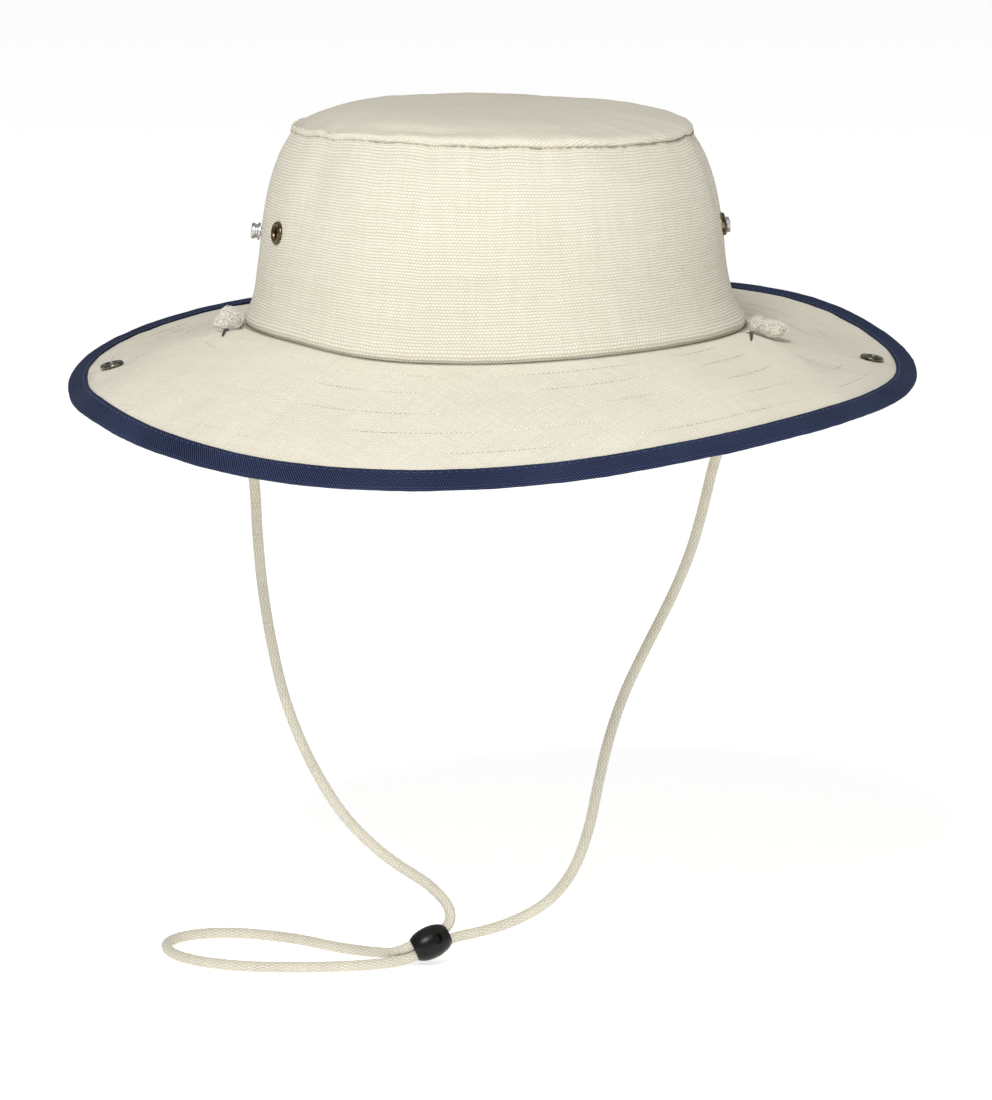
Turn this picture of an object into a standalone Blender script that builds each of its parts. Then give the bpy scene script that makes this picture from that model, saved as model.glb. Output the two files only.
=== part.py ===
"""Outback hat: a canvas crown, a wide stitched brim with a taped rim, snaps, eyelets and a chin cord.

Metres, +Z up. The origin is the centre of the head opening, level with the front of the seam between
crown and brim. -Y is the front of the hat and +X is its right as seen from the front. Azimuths are in
degrees, 0 at the front and 90 towards +X. The brim droops in front and lies nearly level behind.
"""

import math

import bmesh
import bpy
from mathutils import Matrix, Vector

# Head opening and crown
HEAD_WIDTH = 0.183
HEAD_LENGTH = 0.185
CROWN_HEIGHT = 0.0730
CROWN_CLOTH = 0.0015
CROWN_LEAN_LEFT = 0.0013
CROWN_LEAN_START = 0.35
TIP_WIDTH = 0.1464
TIP_LENGTH = 0.141
TIP_RISE = 0.0096
TIP_PEAK_LEFT = 0.028
SEAM_WAVE = 0.003

# Brim and the tape that binds its rim
BRIM_WIDTH = 0.0690
BRIM_TUCK = 0.0022
BRIM_CLOTH = 0.0014
BRIM_ARCH = 0.0022
BRIM_ARCH_SKEW = 1.5
CREASE_HEIGHT = 0.0026
CREASE_REACH = 0.68
CREASE_ONSET = 0.6
CREASE_FALL = 1.9
CREASE_TROUGH = 0.55
CREASE_TROUGH_ANGLE = 16.0
TAPE_WIDTH = 0.0090
TAPE_CLOTH = 0.0007
TAPE_EASE = 0.00012
TAPE_FOLD_ANGLES = (90.0, 50.0, 0.0, -50.0, -90.0)

# Clearance between pieces that touch
GAP = 0.0003

# Metal fittings
EYELET_HEIGHT = 0.0392
EYELET_FLANGE_RADIUS = 0.0043
EYELET_BARREL_RADIUS = 0.0027
EYELET_HOLE_RADIUS = 0.0021
EYELET_LIP = 0.0009
EYELET_RIM = (
    # outward, height: shares of the flange's width and of its lip
    (0.0, 0.60),
    (0.5, 1.00),
    (1.0, 0.35),
)
STUD_HEIGHT = 0.0363
STUD_POST_RADIUS = 0.0016
STUD_BASE_RADIUS = 0.0032
STUD_HEAD_RADIUS = 0.0027
STUD_NECK_RADIUS = 0.0021
STUD_STAND = 0.0032
STUD_PROFILE = (
    # radius, depth: a share of the stud's height above its seat
    (0.0, 0.0),
    (0.72 * STUD_HEAD_RADIUS, 0.0),
    (STUD_HEAD_RADIUS, 0.14),
    (STUD_HEAD_RADIUS, 0.42),
    (STUD_NECK_RADIUS, 0.55),
    (STUD_NECK_RADIUS, 0.68),
    (STUD_BASE_RADIUS, 0.76),
    (STUD_BASE_RADIUS, 1.0),
)
STUD_CAP_RADIUS = 0.0048
STUD_CAP_TAPER = 0.85
STUD_CAP_HEIGHT = 0.0009
SOCKET_MARGIN = 0.0051
SOCKET_RADIUS = 0.0044
SOCKET_HOLE_RADIUS = 0.0022
SOCKET_RIM_HEIGHT = 0.0012
SOCKET_RIM = (
    # outward, depth: shares of the rim's width and of its height
    (0.0, 0.20),
    (0.5, 0.00),
    (1.0, 0.35),
)
SOCKET_BARREL_RADIUS = 0.0031
SOCKET_CAP_HEIGHT = 0.0010
SOCKET_CAP = (
    # radius, height: shares of the socket's radius and of the cap's height
    (1.00, 0.0),
    (0.90, 0.7),
    (0.55, 1.0),
    (0.00, 1.0),
)
SOCKET_EASE = 0.00025

# Chin cord, its slits in the brim, its knots and its lock
CORD_DIAMETER = 0.0038
CORD_SIDES_RESOLUTION = 2
SLIT_REACH = 0.0056
SLIT_LENGTH = 0.0096
SLIT_WIDTH = 0.0046
CORD_END_DEPTH = 0.0002
CORD_SPREAD = HEAD_WIDTH / 2 + CROWN_CLOTH + SLIT_REACH
CORD_DROP = 0.2369
KNOT_SIZE = 0.0092
LOCK_LENGTH = 0.0145
LOCK_DIAMETER = 0.0122
LOCK_FULLNESS = 2.5
LOCK_POINTEDNESS = 1.38
LOCK_RECESS_RADIUS = 0.0019
LOCK_RECESS_DEPTH = 0.0007
LOCK_RECESS_SEAT = 0.97
LOCK_RECESS_LEAN = 0.55
LOCK_FACING = Vector((-0.13, -0.96, 0.24))
LOCK_ROWS = 8
LOCK_CLEAR_RUN = 0.0019
STRAND_SPACING = 0.0041
LOCK_PLACE = (-0.255, -0.030, -0.974)
LOCK_AXIS = Vector((-0.900, -0.220, -0.360))
LOCK_ROLL = 15.0

# The crown's upright profile: spread is 1 at the opening's outline and 0 at the tip's
CROWN_PROFILE = (
    # height, spread
    (0.00, 1.00),
    (0.02, 1.00),
    (0.07, 0.91),
    (0.16, 0.77),
    (0.31, 0.66),
    (0.53, 0.57),
    (0.73, 0.43),
    (0.86, 0.26),
    (0.93, 0.12),
    (0.98, 0.00),
    (1.00, 0.00),
)

# The tip's profile from its sewn edge to its peak, as shares of its outline and of its rise
TIP_PROFILE = (
    # outline, rise
    (1.00, 0.00),
    (1.00, 0.07),
    (0.985, 0.22),
    (0.945, 0.40),
    (0.85, 0.60),
    (0.66, 0.80),
    (0.36, 0.95),
    (0.00, 1.00),
)

# How far the crown's two seams stand above their mean height, as shares of the seams' wave
SEAM_HEIGHTS = (
    # azimuth, brim_seam, tip_seam
    (-150.0, 0.50, 0.10),
    (-97.0, 0.85, 0.20),
    (-62.0, 0.95, 0.70),
    (-35.0, 0.00, 0.85),
    (-10.0, 0.05, 0.60),
    (10.0, 0.42, 0.45),
    (30.0, 0.77, 0.15),
    (50.0, 0.87, 0.00),
    (75.0, 0.70, -0.10),
    (105.0, 0.35, 0.00),
    (150.0, 0.30, 0.10),
)

# Where the fittings sit round the hat
EYELET_AZIMUTHS = {
    "front_left": -74.0,
    "front_right": 78.0,
    "rear_left": -110.0,
    "rear_right": 110.0,
}
STUD_AZIMUTHS = {"left": -94.0, "right": 91.0}
SOCKET_AZIMUTHS = {"left": -94.5, "right": 80.3}

# The slits' azimuths, and how far each one turns forward as it runs out
SLITS = {
    # side: azimuth, turn
    "left": (-88.5, 20.0),
    "right": (74.0, 30.0),
}

# Soft dents near the crown's shoulders, with their sizes as shares of the crown's height
SHOULDER_DENTS = (
    # azimuth, height, depth, half_angle, half_height
    (-60.0, 0.76, 0.022, 7.0, 0.20),
    (74.0, 0.78, 0.020, 6.0, 0.18),
    (160.0, 0.74, 0.018, 9.0, 0.22),
)

# How the brim hangs round the hat: its droop in degrees, its chord as a share of its width, and its
# arch as a share of the common arch
BRIM_SECTIONS = (
    # azimuth, droop, chord, arch
    (-150.0, 5.9, 1.00, -0.9),
    (-125.0, 11.2, 1.00, -0.6),
    (-105.0, 16.8, 1.00, 0.7),
    (-92.0, 20.4, 0.985, 1.6),
    (-78.0, 21.0, 0.985, 1.6),
    (-60.0, 25.5, 0.99, 1.0),
    (-40.0, 29.8, 1.00, 1.0),
    (-20.0, 30.3, 1.00, 1.0),
    (0.0, 27.0, 1.00, 1.0),
    (20.0, 20.9, 1.00, 1.0),
    (40.0, 16.4, 0.985, 1.0),
    (60.0, 15.2, 0.945, 0.8),
    (80.0, 13.8, 0.92, -0.3),
    (100.0, 9.6, 0.94, -1.0),
    (125.0, 2.2, 0.99, -1.0),
    (150.0, 0.7, 1.00, -0.8),
    (180.0, 3.3, 1.00, -0.8),
)

# The creases that run out across the brim from the slits, highest at the slit
BRIM_CREASES = (
    # azimuth_at_seam, azimuth_at_rim, front_angle, rear_angle
    (-80.0, -99.0, 26.0, 10.0),
    (61.0, 49.0, 24.0, 12.0),
)

# The lumps that make up each knot, as shares of the knot's size
LEFT_KNOT_LUMPS = (
    # outward, rearward, upward, half_width, half_depth, half_height
    (-0.18, 0.20, 0.37, 0.38, 0.44, 0.38),
    (0.10, 0.28, 0.46, 0.34, 0.38, 0.32),
    (-0.20, 0.34, 0.60, 0.30, 0.34, 0.30),
)
RIGHT_KNOT_LUMPS = (
    # outward, rearward, upward, half_width, half_depth, half_height
    (-0.34, 0.08, 0.38, 0.28, 0.30, 0.26),
    (0.08, 0.12, 0.31, 0.32, 0.34, 0.27),
    (0.44, 0.24, 0.37, 0.44, 0.36, 0.30),
)

# The cord's route, sideways and rearward as shares of its spread at the slits and upward as shares
# of its drop. It starts and ends in the slits. It runs through the lock between the turn and the
# loop, and again after the loop
LEFT_STRAND = (
    # sideways, rearward, upward
    (-0.996, -0.061, -0.032),
    (-0.976, -0.055, -0.088),
    (-0.940, -0.045, -0.160),
    (-0.912, -0.034, -0.234),
    (-0.901, -0.020, -0.312),
    (-0.883, -0.004, -0.395),
    (-0.848, 0.012, -0.488),
    (-0.795, 0.022, -0.583),
    (-0.712, 0.027, -0.673),
    (-0.590, 0.027, -0.762),
    (-0.458, 0.022, -0.823),
    (-0.350, 0.016, -0.858),
    (-0.261, 0.012, -0.882),
)
TURN_INTO_LOCK = (
    # sideways, rearward, upward
    (-0.213, 0.008, -0.902),
    (-0.179, 0.004, -0.918),
    (-0.167, -0.003, -0.934),
)
LOOP_ON_GROUND = (
    # sideways, rearward, upward
    (-0.393, -0.028, -0.990),
    (-0.449, 0.030, -0.993),
    (-0.515, 0.111, -0.997),
    (-0.602, 0.219, -1.000),
    (-0.704, 0.337, -1.000),
    (-0.816, 0.423, -1.000),
    (-0.936, 0.484, -1.000),
    (-1.051, 0.497, -1.000),
    (-1.148, 0.459, -1.000),
    (-1.214, 0.378, -1.000),
    (-1.232, 0.270, -1.000),
    (-1.199, 0.143, -1.000),
    (-1.117, 0.036, -1.000),
    (-0.990, -0.046, -1.000),
    (-0.837, -0.090, -1.000),
    (-0.673, -0.107, -1.000),
    (-0.510, -0.100, -1.000),
    (-0.408, -0.073, -1.000),
)
RIGHT_STRAND = (
    # sideways, rearward, upward
    (-0.112, -0.009, -0.965),
    (-0.046, -0.014, -0.959),
    (0.056, -0.020, -0.946),
    (0.190, -0.031, -0.915),
    (0.286, -0.039, -0.866),
    (0.347, -0.045, -0.798),
    (0.386, -0.045, -0.720),
    (0.427, -0.050, -0.647),
    (0.483, -0.075, -0.573),
    (0.569, -0.110, -0.491),
    (0.657, -0.145, -0.410),
    (0.715, -0.170, -0.344),
    (0.753, -0.190, -0.282),
    (0.796, -0.208, -0.202),
    (0.856, -0.225, -0.132),
    (0.914, -0.240, -0.072),
    (0.955, -0.247, -0.034),
)
RUN_SPACING = 3.0 * CORD_DIAMETER
LOOP_SPACING = 2.4 * CORD_DIAMETER
TURN_SPACING = 1.3 * CORD_DIAMETER

# Columns and rows of the cloth meshes, and the sides of the turned fittings
CLOTH_COLUMNS = 52
BRIM_ROWS = 6
TURNED_SIDES = 12
MERGE_DISTANCE = 1e-6

# How deep the cutters go, as multiples of what they cut through
BORE_CUT = 4.0
SLIT_CUT = 8.0

# Colour, roughness, metallic
FINISHES = {
    "crown_canvas": ((0.83, 0.78, 0.66), 0.95, 0.0),
    "brim_canvas": ((0.79, 0.75, 0.63), 0.95, 0.0),
    "navy_tape": ((0.018, 0.026, 0.095), 0.90, 0.0),
    "aged_brass": ((0.10, 0.075, 0.035), 0.35, 1.0),
    "silver_metal": ((0.72, 0.72, 0.72), 0.25, 1.0),
    "dark_metal": ((0.16, 0.145, 0.115), 0.30, 1.0),
    "cord_cotton": ((0.68, 0.64, 0.52), 0.95, 0.0),
    "black_plastic": ((0.012, 0.012, 0.012), 0.35, 0.0),
}


def clear_scene():
    for thing in list(bpy.data.objects):
        bpy.data.objects.remove(thing)


def make_collection(name):
    collection = bpy.data.collections.new(name)
    bpy.context.scene.collection.children.link(collection)
    return collection


def finish(name):
    material = bpy.data.materials.get(name)
    if material:
        return material
    colour, roughness, metallic = FINISHES[name]
    material = bpy.data.materials.new(name)
    material.use_nodes = True
    shader = material.node_tree.nodes["Principled BSDF"]
    shader.inputs["Base Color"].default_value = (*colour, 1.0)
    shader.inputs["Roughness"].default_value = roughness
    shader.inputs["Metallic"].default_value = metallic
    return material


def smooth_value(rows, place, column, period=None):
    """Value of a table's column at a place, on a smooth curve through the table's rows."""
    keys = [row[0] for row in rows]
    values = [row[column] for row in rows]
    if period:
        while place < keys[0]:
            place += period
        while place >= keys[0] + period:
            place -= period
        keys = [keys[-1] - period, *keys, keys[0] + period, keys[1] + period]
        values = [values[-1], *values, values[0], values[1]]
    last = len(keys) - 2
    span = 0
    while span < last and place > keys[span + 1]:
        span += 1

    def slope(index):
        low, high = max(index - 1, 0), min(index + 1, len(keys) - 1)
        return (values[high] - values[low]) / (keys[high] - keys[low])

    width = keys[span + 1] - keys[span]
    t = (place - keys[span]) / width
    start, end = values[span], values[span + 1]
    rise_in, rise_out = slope(span) * width, slope(span + 1) * width
    return (
        (2 * t**3 - 3 * t**2 + 1) * start
        + (t**3 - 2 * t**2 + t) * rise_in
        + (3 * t**2 - 2 * t**3) * end
        + (t**3 - t**2) * rise_out
    )


def outward(azimuth):
    angle = math.radians(azimuth)
    return Vector((math.sin(angle), -math.cos(angle), 0.0))


def on_oval(azimuth, width, length):
    direction = outward(azimuth)
    return Vector((direction.x * width / 2, direction.y * length / 2, 0.0))


def angle_between(azimuth, other):
    return (azimuth - other + 180.0) % 360.0 - 180.0


def seam_height(azimuth):
    """Height of the seam between crown and brim."""
    return SEAM_WAVE * smooth_value(SEAM_HEIGHTS, azimuth, 1, 360.0)


def tip_seam_height(azimuth):
    """Height of the seam between the crown's side and its tip."""
    return CROWN_HEIGHT + SEAM_WAVE * smooth_value(SEAM_HEIGHTS, azimuth, 2, 360.0)


def crown_lean(share):
    """How far to the left the crown stands at a share of its height."""
    return CROWN_LEAN_LEFT * math.sin(math.pi / 2 * min(1.0, share / CROWN_LEAN_START))


def crown_point(azimuth, share):
    """Middle of the crown's side cloth at a share of its height."""
    spread = smooth_value(CROWN_PROFILE, share, 1)
    wide = on_oval(azimuth, HEAD_WIDTH, HEAD_LENGTH)
    narrow = on_oval(azimuth, TIP_WIDTH, TIP_LENGTH)
    point = narrow.lerp(wide, spread)
    point.x -= crown_lean(share)
    low = seam_height(azimuth) + GAP / 2
    point.z = low + (tip_seam_height(azimuth) - low) * share
    for centre, height, depth, half_angle, half_height in SHOULDER_DENTS:
        across = angle_between(azimuth, centre) / half_angle
        along = (share - height) / half_height
        point -= outward(azimuth) * depth * CROWN_HEIGHT * math.exp(-across**2 - along**2)
    return point


def tip_point(azimuth, outline, rise):
    """Middle of the tip's cloth at shares of its outline and of its rise."""
    point = on_oval(azimuth, TIP_WIDTH, TIP_LENGTH) * outline
    point.x -= CROWN_LEAN_LEFT + TIP_PEAK_LEFT * (1 - outline) * outline
    seam = tip_seam_height(azimuth) - CROWN_HEIGHT
    point.z = CROWN_HEIGHT + seam * outline**2 + GAP + TIP_RISE * rise
    return point


def crease_lift(azimuth, share):
    """Height of the brim's creases above its plain surface."""
    lift = 0.0
    for seam_azimuth, rim_azimuth, front_angle, rear_angle in BRIM_CREASES:
        line = seam_azimuth + (rim_azimuth - seam_azimuth) * share
        behind = angle_between(azimuth, line) * math.copysign(1.0, seam_azimuth)
        fade = math.sin(math.pi * min(max(share / CREASE_REACH, 0.0), 1.0) ** CREASE_ONSET)
        if behind > 0:
            form = max(1.0 - CREASE_FALL * behind / rear_angle, -CREASE_TROUGH)
            form *= math.exp(-max(0.0, behind - rear_angle) / CREASE_TROUGH_ANGLE)
        else:
            form = math.exp(behind / front_angle)
        lift += CREASE_HEIGHT * fade * form
    return lift


def brim_point(azimuth, share):
    """Middle of the brim's cloth at a share of its width, from the crown's outer face to the rim."""
    direction = outward(azimuth)
    droop = math.radians(smooth_value(BRIM_SECTIONS, azimuth, 1, 360.0))
    chord = BRIM_WIDTH * smooth_value(BRIM_SECTIONS, azimuth, 2, 360.0)
    along = chord * share
    arch = BRIM_ARCH * smooth_value(BRIM_SECTIONS, azimuth, 3, 360.0)
    lift = arch * math.sin(math.pi * max(share, 0.0) ** BRIM_ARCH_SKEW) + crease_lift(azimuth, share)
    point = on_oval(azimuth, HEAD_WIDTH, HEAD_LENGTH) + direction * CROWN_CLOTH
    point += direction * (along * math.cos(droop) + lift * math.sin(droop))
    point.z = lift * math.cos(droop) - along * math.sin(droop)
    point.z += seam_height(azimuth) * (1 - share) - (BRIM_CLOTH + GAP) / 2
    return point


def brim_frame(azimuth, share):
    """Point, outward tangent and upward normal of the brim's middle."""
    step, turn = 0.004, 0.4
    point = brim_point(azimuth, share)
    tangent = (point - brim_point(azimuth, share - step)).normalized()
    around = (brim_point(azimuth + turn, share) - brim_point(azimuth - turn, share)).normalized()
    return point, tangent, tangent.cross(around).normalized()


def crown_frame(azimuth, height):
    """Point and outward normal of the crown's side at a height above the opening."""
    share = (height - seam_height(azimuth)) / (tip_seam_height(azimuth) - seam_height(azimuth))
    step, turn = 0.01, 1.0
    point = crown_point(azimuth, share)
    up = crown_point(azimuth, share + step) - crown_point(azimuth, share - step)
    around = crown_point(azimuth + turn, share) - crown_point(azimuth - turn, share)
    return point, around.cross(up).normalized()


def add_object(name, mesh, collection, material=None):
    thing = bpy.data.objects.new(name, mesh)
    collection.objects.link(thing)
    if material:
        mesh.materials.append(finish(material))
    return thing


def cloth_ring(name, collection, material, thickness, rows, place):
    """A sheet of cloth bent round the hat: a plain grid whose corners go where place() says."""
    grid = bmesh.new()
    bmesh.ops.create_grid(grid, x_segments=CLOTH_COLUMNS, y_segments=len(rows) - 1, size=1.0)
    for corner in grid.verts:
        azimuth = 180.0 * (corner.co.x + 1.0) - 180.0
        row = rows[round((corner.co.y + 1.0) / 2 * (len(rows) - 1))]
        corner.co = place(azimuth, row)
    bmesh.ops.remove_doubles(grid, verts=grid.verts, dist=MERGE_DISTANCE)
    mesh = bpy.data.meshes.new(name)
    grid.to_mesh(mesh)
    grid.free()
    mesh.shade_smooth()
    thing = add_object(name, mesh, collection, material)
    shell = thing.modifiers.new("cloth", "SOLIDIFY")
    shell.thickness = thickness
    shell.offset = 0.0
    shell.use_even_offset = True
    return thing


def turned(name, collection, material, profile, point, axis, closed=False):
    """A turned piece standing at a point along an axis, from a profile of radius and height."""
    mesh = bpy.data.meshes.new(name)
    edges = [(i, i + 1) for i in range(len(profile) - 1)]
    if closed:
        edges.append((len(profile) - 1, 0))
    mesh.from_pydata([(radius, 0.0, height) for radius, height in profile], edges, [])
    thing = add_object(name, mesh, collection, material)
    screw = thing.modifiers.new("turn", "SCREW")
    screw.axis = "Z"
    screw.steps = TURNED_SIDES
    screw.render_steps = TURNED_SIDES
    screw.use_merge_vertices = True
    screw.merge_threshold = MERGE_DISTANCE
    screw.use_smooth_shade = False
    thing.location = point
    thing.rotation_mode = "QUATERNION"
    thing.rotation_quaternion = axis.to_track_quat("Z", "Y")
    return thing


def cut(thing, cutter, operation="DIFFERENCE"):
    modifier = thing.modifiers.new(cutter.name, "BOOLEAN")
    modifier.operation = operation
    modifier.solver = "EXACT"
    modifier.object = cutter
    cutter.hide_render = True
    cutter.display_type = "WIRE"


def cylinder_cutter(name, collection, radius, depth, point, axis):
    shape = bmesh.new()
    bmesh.ops.create_cone(
        shape,
        cap_ends=True,
        segments=TURNED_SIDES,
        radius1=radius,
        radius2=radius,
        depth=depth,
    )
    mesh = bpy.data.meshes.new(name)
    shape.to_mesh(mesh)
    shape.free()
    cutter = add_object(name, mesh, collection)
    cutter.location = point
    cutter.rotation_mode = "QUATERNION"
    cutter.rotation_quaternion = axis.to_track_quat("Z", "Y")
    return cutter


def obround_cutter(name, collection, length, width, depth, point, rotation):
    """A slot's cutter: a cylinder stretched along its X by moving its two halves apart."""
    shape = bmesh.new()
    bmesh.ops.create_cone(
        shape,
        cap_ends=True,
        segments=TURNED_SIDES,
        radius1=width / 2,
        radius2=width / 2,
        depth=depth,
        matrix=Matrix.Rotation(math.pi / TURNED_SIDES, 4, "Z"),
    )
    for corner in shape.verts:
        corner.co.x += math.copysign((length - width) / 2, corner.co.x)
    mesh = bpy.data.meshes.new(name)
    shape.to_mesh(mesh)
    shape.free()
    cutter = add_object(name, mesh, collection)
    cutter.matrix_world = Matrix.Translation(point) @ rotation.to_4x4()
    return cutter


def axes_matrix(x_axis, z_axis):
    """Rotation whose X and Z columns lie along the given directions."""
    z_axis = z_axis.normalized()
    x_axis = (x_axis - z_axis * x_axis.dot(z_axis)).normalized()
    return Matrix((x_axis, z_axis.cross(x_axis), z_axis)).transposed()


def make_crown(parts):
    shares = [row[0] for row in CROWN_PROFILE]
    side = cloth_ring("crown_side", parts, "crown_canvas", CROWN_CLOTH, shares, crown_point)

    def place(azimuth, row):
        return tip_point(azimuth, *row)

    cloth_ring("crown_tip", parts, "crown_canvas", CROWN_CLOTH, TIP_PROFILE, place)
    return side


def tape_fold_radius():
    """Distance from the brim's middle to the middle of the tape on either face."""
    return BRIM_CLOTH / 2 + GAP + TAPE_EASE + TAPE_CLOTH / 2


def tape_shares():
    """Shares of the brim's width where the tape begins and where the cloth ends, inside its fold."""
    edge = 1 - (TAPE_CLOTH / 2 + tape_fold_radius()) / BRIM_WIDTH
    return 1 - TAPE_WIDTH / BRIM_WIDTH, edge


def make_brim(parts):
    tape, edge = tape_shares()
    rows = [tape * row / (BRIM_ROWS - 1) for row in range(BRIM_ROWS)]
    rows = [-BRIM_TUCK / BRIM_WIDTH, *rows[:1], SLIT_REACH / BRIM_WIDTH, *rows[1:], edge]

    def place(azimuth, share):
        if share >= 0:
            return brim_point(azimuth, share)
        return brim_point(azimuth, 0.0) + outward(azimuth) * share * BRIM_WIDTH

    return cloth_ring("brim", parts, "brim_canvas", BRIM_CLOTH, rows, place)


def make_binding(parts):
    """The tape folded round the rim: flat on top, round the edge, flat below."""
    tape, edge = tape_shares()
    fold = tape_fold_radius()
    turns = [(edge, math.radians(angle)) for angle in TAPE_FOLD_ANGLES]
    rows = [(tape, math.radians(90)), *turns, (tape, math.radians(-90))]

    def place(azimuth, row):
        share, turn = row
        point, tangent, normal = brim_frame(azimuth, share)
        return point + (tangent * math.cos(turn) + normal * math.sin(turn)) * fold

    cloth_ring("brim_binding", parts, "navy_tape", TAPE_CLOTH, rows, place)


def make_eyelets(parts, cutters, crown):
    curve_allowance = EYELET_FLANGE_RADIUS**2 / HEAD_WIDTH
    grip = CROWN_CLOTH / 2 + GAP + curve_allowance
    outer, barrel, hole = EYELET_FLANGE_RADIUS, EYELET_BARREL_RADIUS, EYELET_HOLE_RADIUS
    front = [(hole + (outer - hole) * out, grip + EYELET_LIP * up) for out, up in EYELET_RIM]
    front += [(outer, grip), (barrel, grip)]
    profile = front + [(radius, -height) for radius, height in reversed(front)]
    for corner, azimuth in EYELET_AZIMUTHS.items():
        name = "vent_eyelet_" + corner
        point, normal = crown_frame(azimuth, EYELET_HEIGHT)
        turned(name, parts, "aged_brass", profile, point, normal, closed=True)
        bore = barrel + GAP
        cut(crown, cylinder_cutter("hole_" + name, cutters, bore, BORE_CUT * grip, point, normal))


def make_studs(parts, cutters, crown):
    grip = CROWN_CLOTH / 2 + GAP + STUD_CAP_RADIUS**2 / HEAD_WIDTH
    top = CROWN_CLOTH / 2 + STUD_STAND
    profile = [(radius, top - (top - grip) * depth) for radius, depth in STUD_PROFILE]
    profile += [
        (STUD_POST_RADIUS, grip),
        (STUD_POST_RADIUS, -grip),
        (STUD_CAP_RADIUS, -grip),
        (STUD_CAP_RADIUS * STUD_CAP_TAPER, -grip - STUD_CAP_HEIGHT),
        (0.0, -grip - STUD_CAP_HEIGHT),
    ]
    for side, azimuth in STUD_AZIMUTHS.items():
        name = "snap_stud_" + side
        point, normal = crown_frame(azimuth, STUD_HEIGHT)
        turned(name, parts, "silver_metal", profile, point, normal)
        bore = STUD_POST_RADIUS + GAP
        cut(crown, cylinder_cutter("hole_" + name, cutters, bore, BORE_CUT * grip, point, normal))


def make_sockets(parts, cutters, brim):
    grip = BRIM_CLOTH / 2 + GAP + SOCKET_EASE + SOCKET_RADIUS**2 / HEAD_WIDTH
    outer, hole, barrel = SOCKET_RADIUS, SOCKET_HOLE_RADIUS, SOCKET_BARREL_RADIUS
    rim = grip + SOCKET_RIM_HEIGHT
    profile = [(0.0, -grip), (hole, -grip)]
    profile += [(hole + (outer - hole) * out, rim - SOCKET_RIM_HEIGHT * down) for out, down in SOCKET_RIM]
    profile += [(outer, grip), (barrel, grip), (barrel, -grip)]
    profile += [(outer * out, -grip - SOCKET_CAP_HEIGHT * down) for out, down in SOCKET_CAP]
    share = 1 - (TAPE_WIDTH + SOCKET_MARGIN + SOCKET_RADIUS) / BRIM_WIDTH
    for side, azimuth in SOCKET_AZIMUTHS.items():
        name = "snap_socket_" + side
        point, _, normal = brim_frame(azimuth, share)
        turned(name, parts, "dark_metal", profile, point, normal)
        bore = barrel + GAP
        cut(brim, cylinder_cutter("hole_" + name, cutters, bore, BORE_CUT * grip, point, normal))


def make_slits(cutters, brim):
    """The slots beside the crown where the cord comes up through the brim."""
    share = SLIT_REACH / BRIM_WIDTH
    for side, (azimuth, turn) in SLITS.items():
        point = brim_frame(azimuth, share)[0]
        direction = outward(azimuth - math.copysign(turn, azimuth))
        rotation = axes_matrix(direction, Vector((0.0, 0.0, 1.0)))
        cutter = obround_cutter(
            "slit_" + side, cutters, SLIT_LENGTH, SLIT_WIDTH, SLIT_CUT * BRIM_CLOTH, point, rotation
        )
        cut(brim, cutter)


def cord_seat(side):
    """Where the cord comes up through the brim: point, outward tangent and upward normal."""
    return brim_frame(SLITS[side][0], SLIT_REACH / BRIM_WIDTH)


def make_knot(side, parts, cutters, lumps):
    """The knot that stops the cord's end on top of the brim, as lumps joined into one body."""
    name = "cord_knot_" + side
    point, out, up = cord_seat(side)
    seat = point + up * (BRIM_CLOTH / 2 + GAP)
    back = Vector((0.0, 1.0, 0.0))
    whole = None
    for index, (outwards, rearwards, upwards, half_width, half_depth, half_height) in enumerate(lumps):
        lump = bmesh.new()
        bmesh.ops.create_icosphere(lump, subdivisions=2, radius=1.0)
        scale = Matrix.Diagonal((half_width, half_depth, half_height)) * KNOT_SIZE
        bmesh.ops.transform(lump, matrix=scale.to_4x4(), verts=lump.verts)
        mesh = bpy.data.meshes.new(name)
        lump.to_mesh(mesh)
        lump.free()
        mesh.shade_smooth()
        if whole is None:
            thing = whole = add_object(name, mesh, parts, "cord_cotton")
        else:
            thing = add_object(f"{name}_lump_{index}", mesh, cutters, "cord_cotton")
            cut(whole, thing, "UNION")
        thing.location = seat + (out * outwards + back * rearwards + up * upwards) * KNOT_SIZE


def route_point(row):
    sideways, rearward, upward = row
    return Vector((sideways * CORD_SPREAD, rearward * CORD_SPREAD, upward * CORD_DROP))


def lock_rotation():
    """The lock's X lies across its two strands, and its Z along them, towards the loop."""
    upright = axes_matrix(Vector((0.0, 0.0, 1.0)), LOCK_AXIS)
    return upright @ Matrix.Rotation(math.radians(LOCK_ROLL), 3, "Z")


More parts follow.
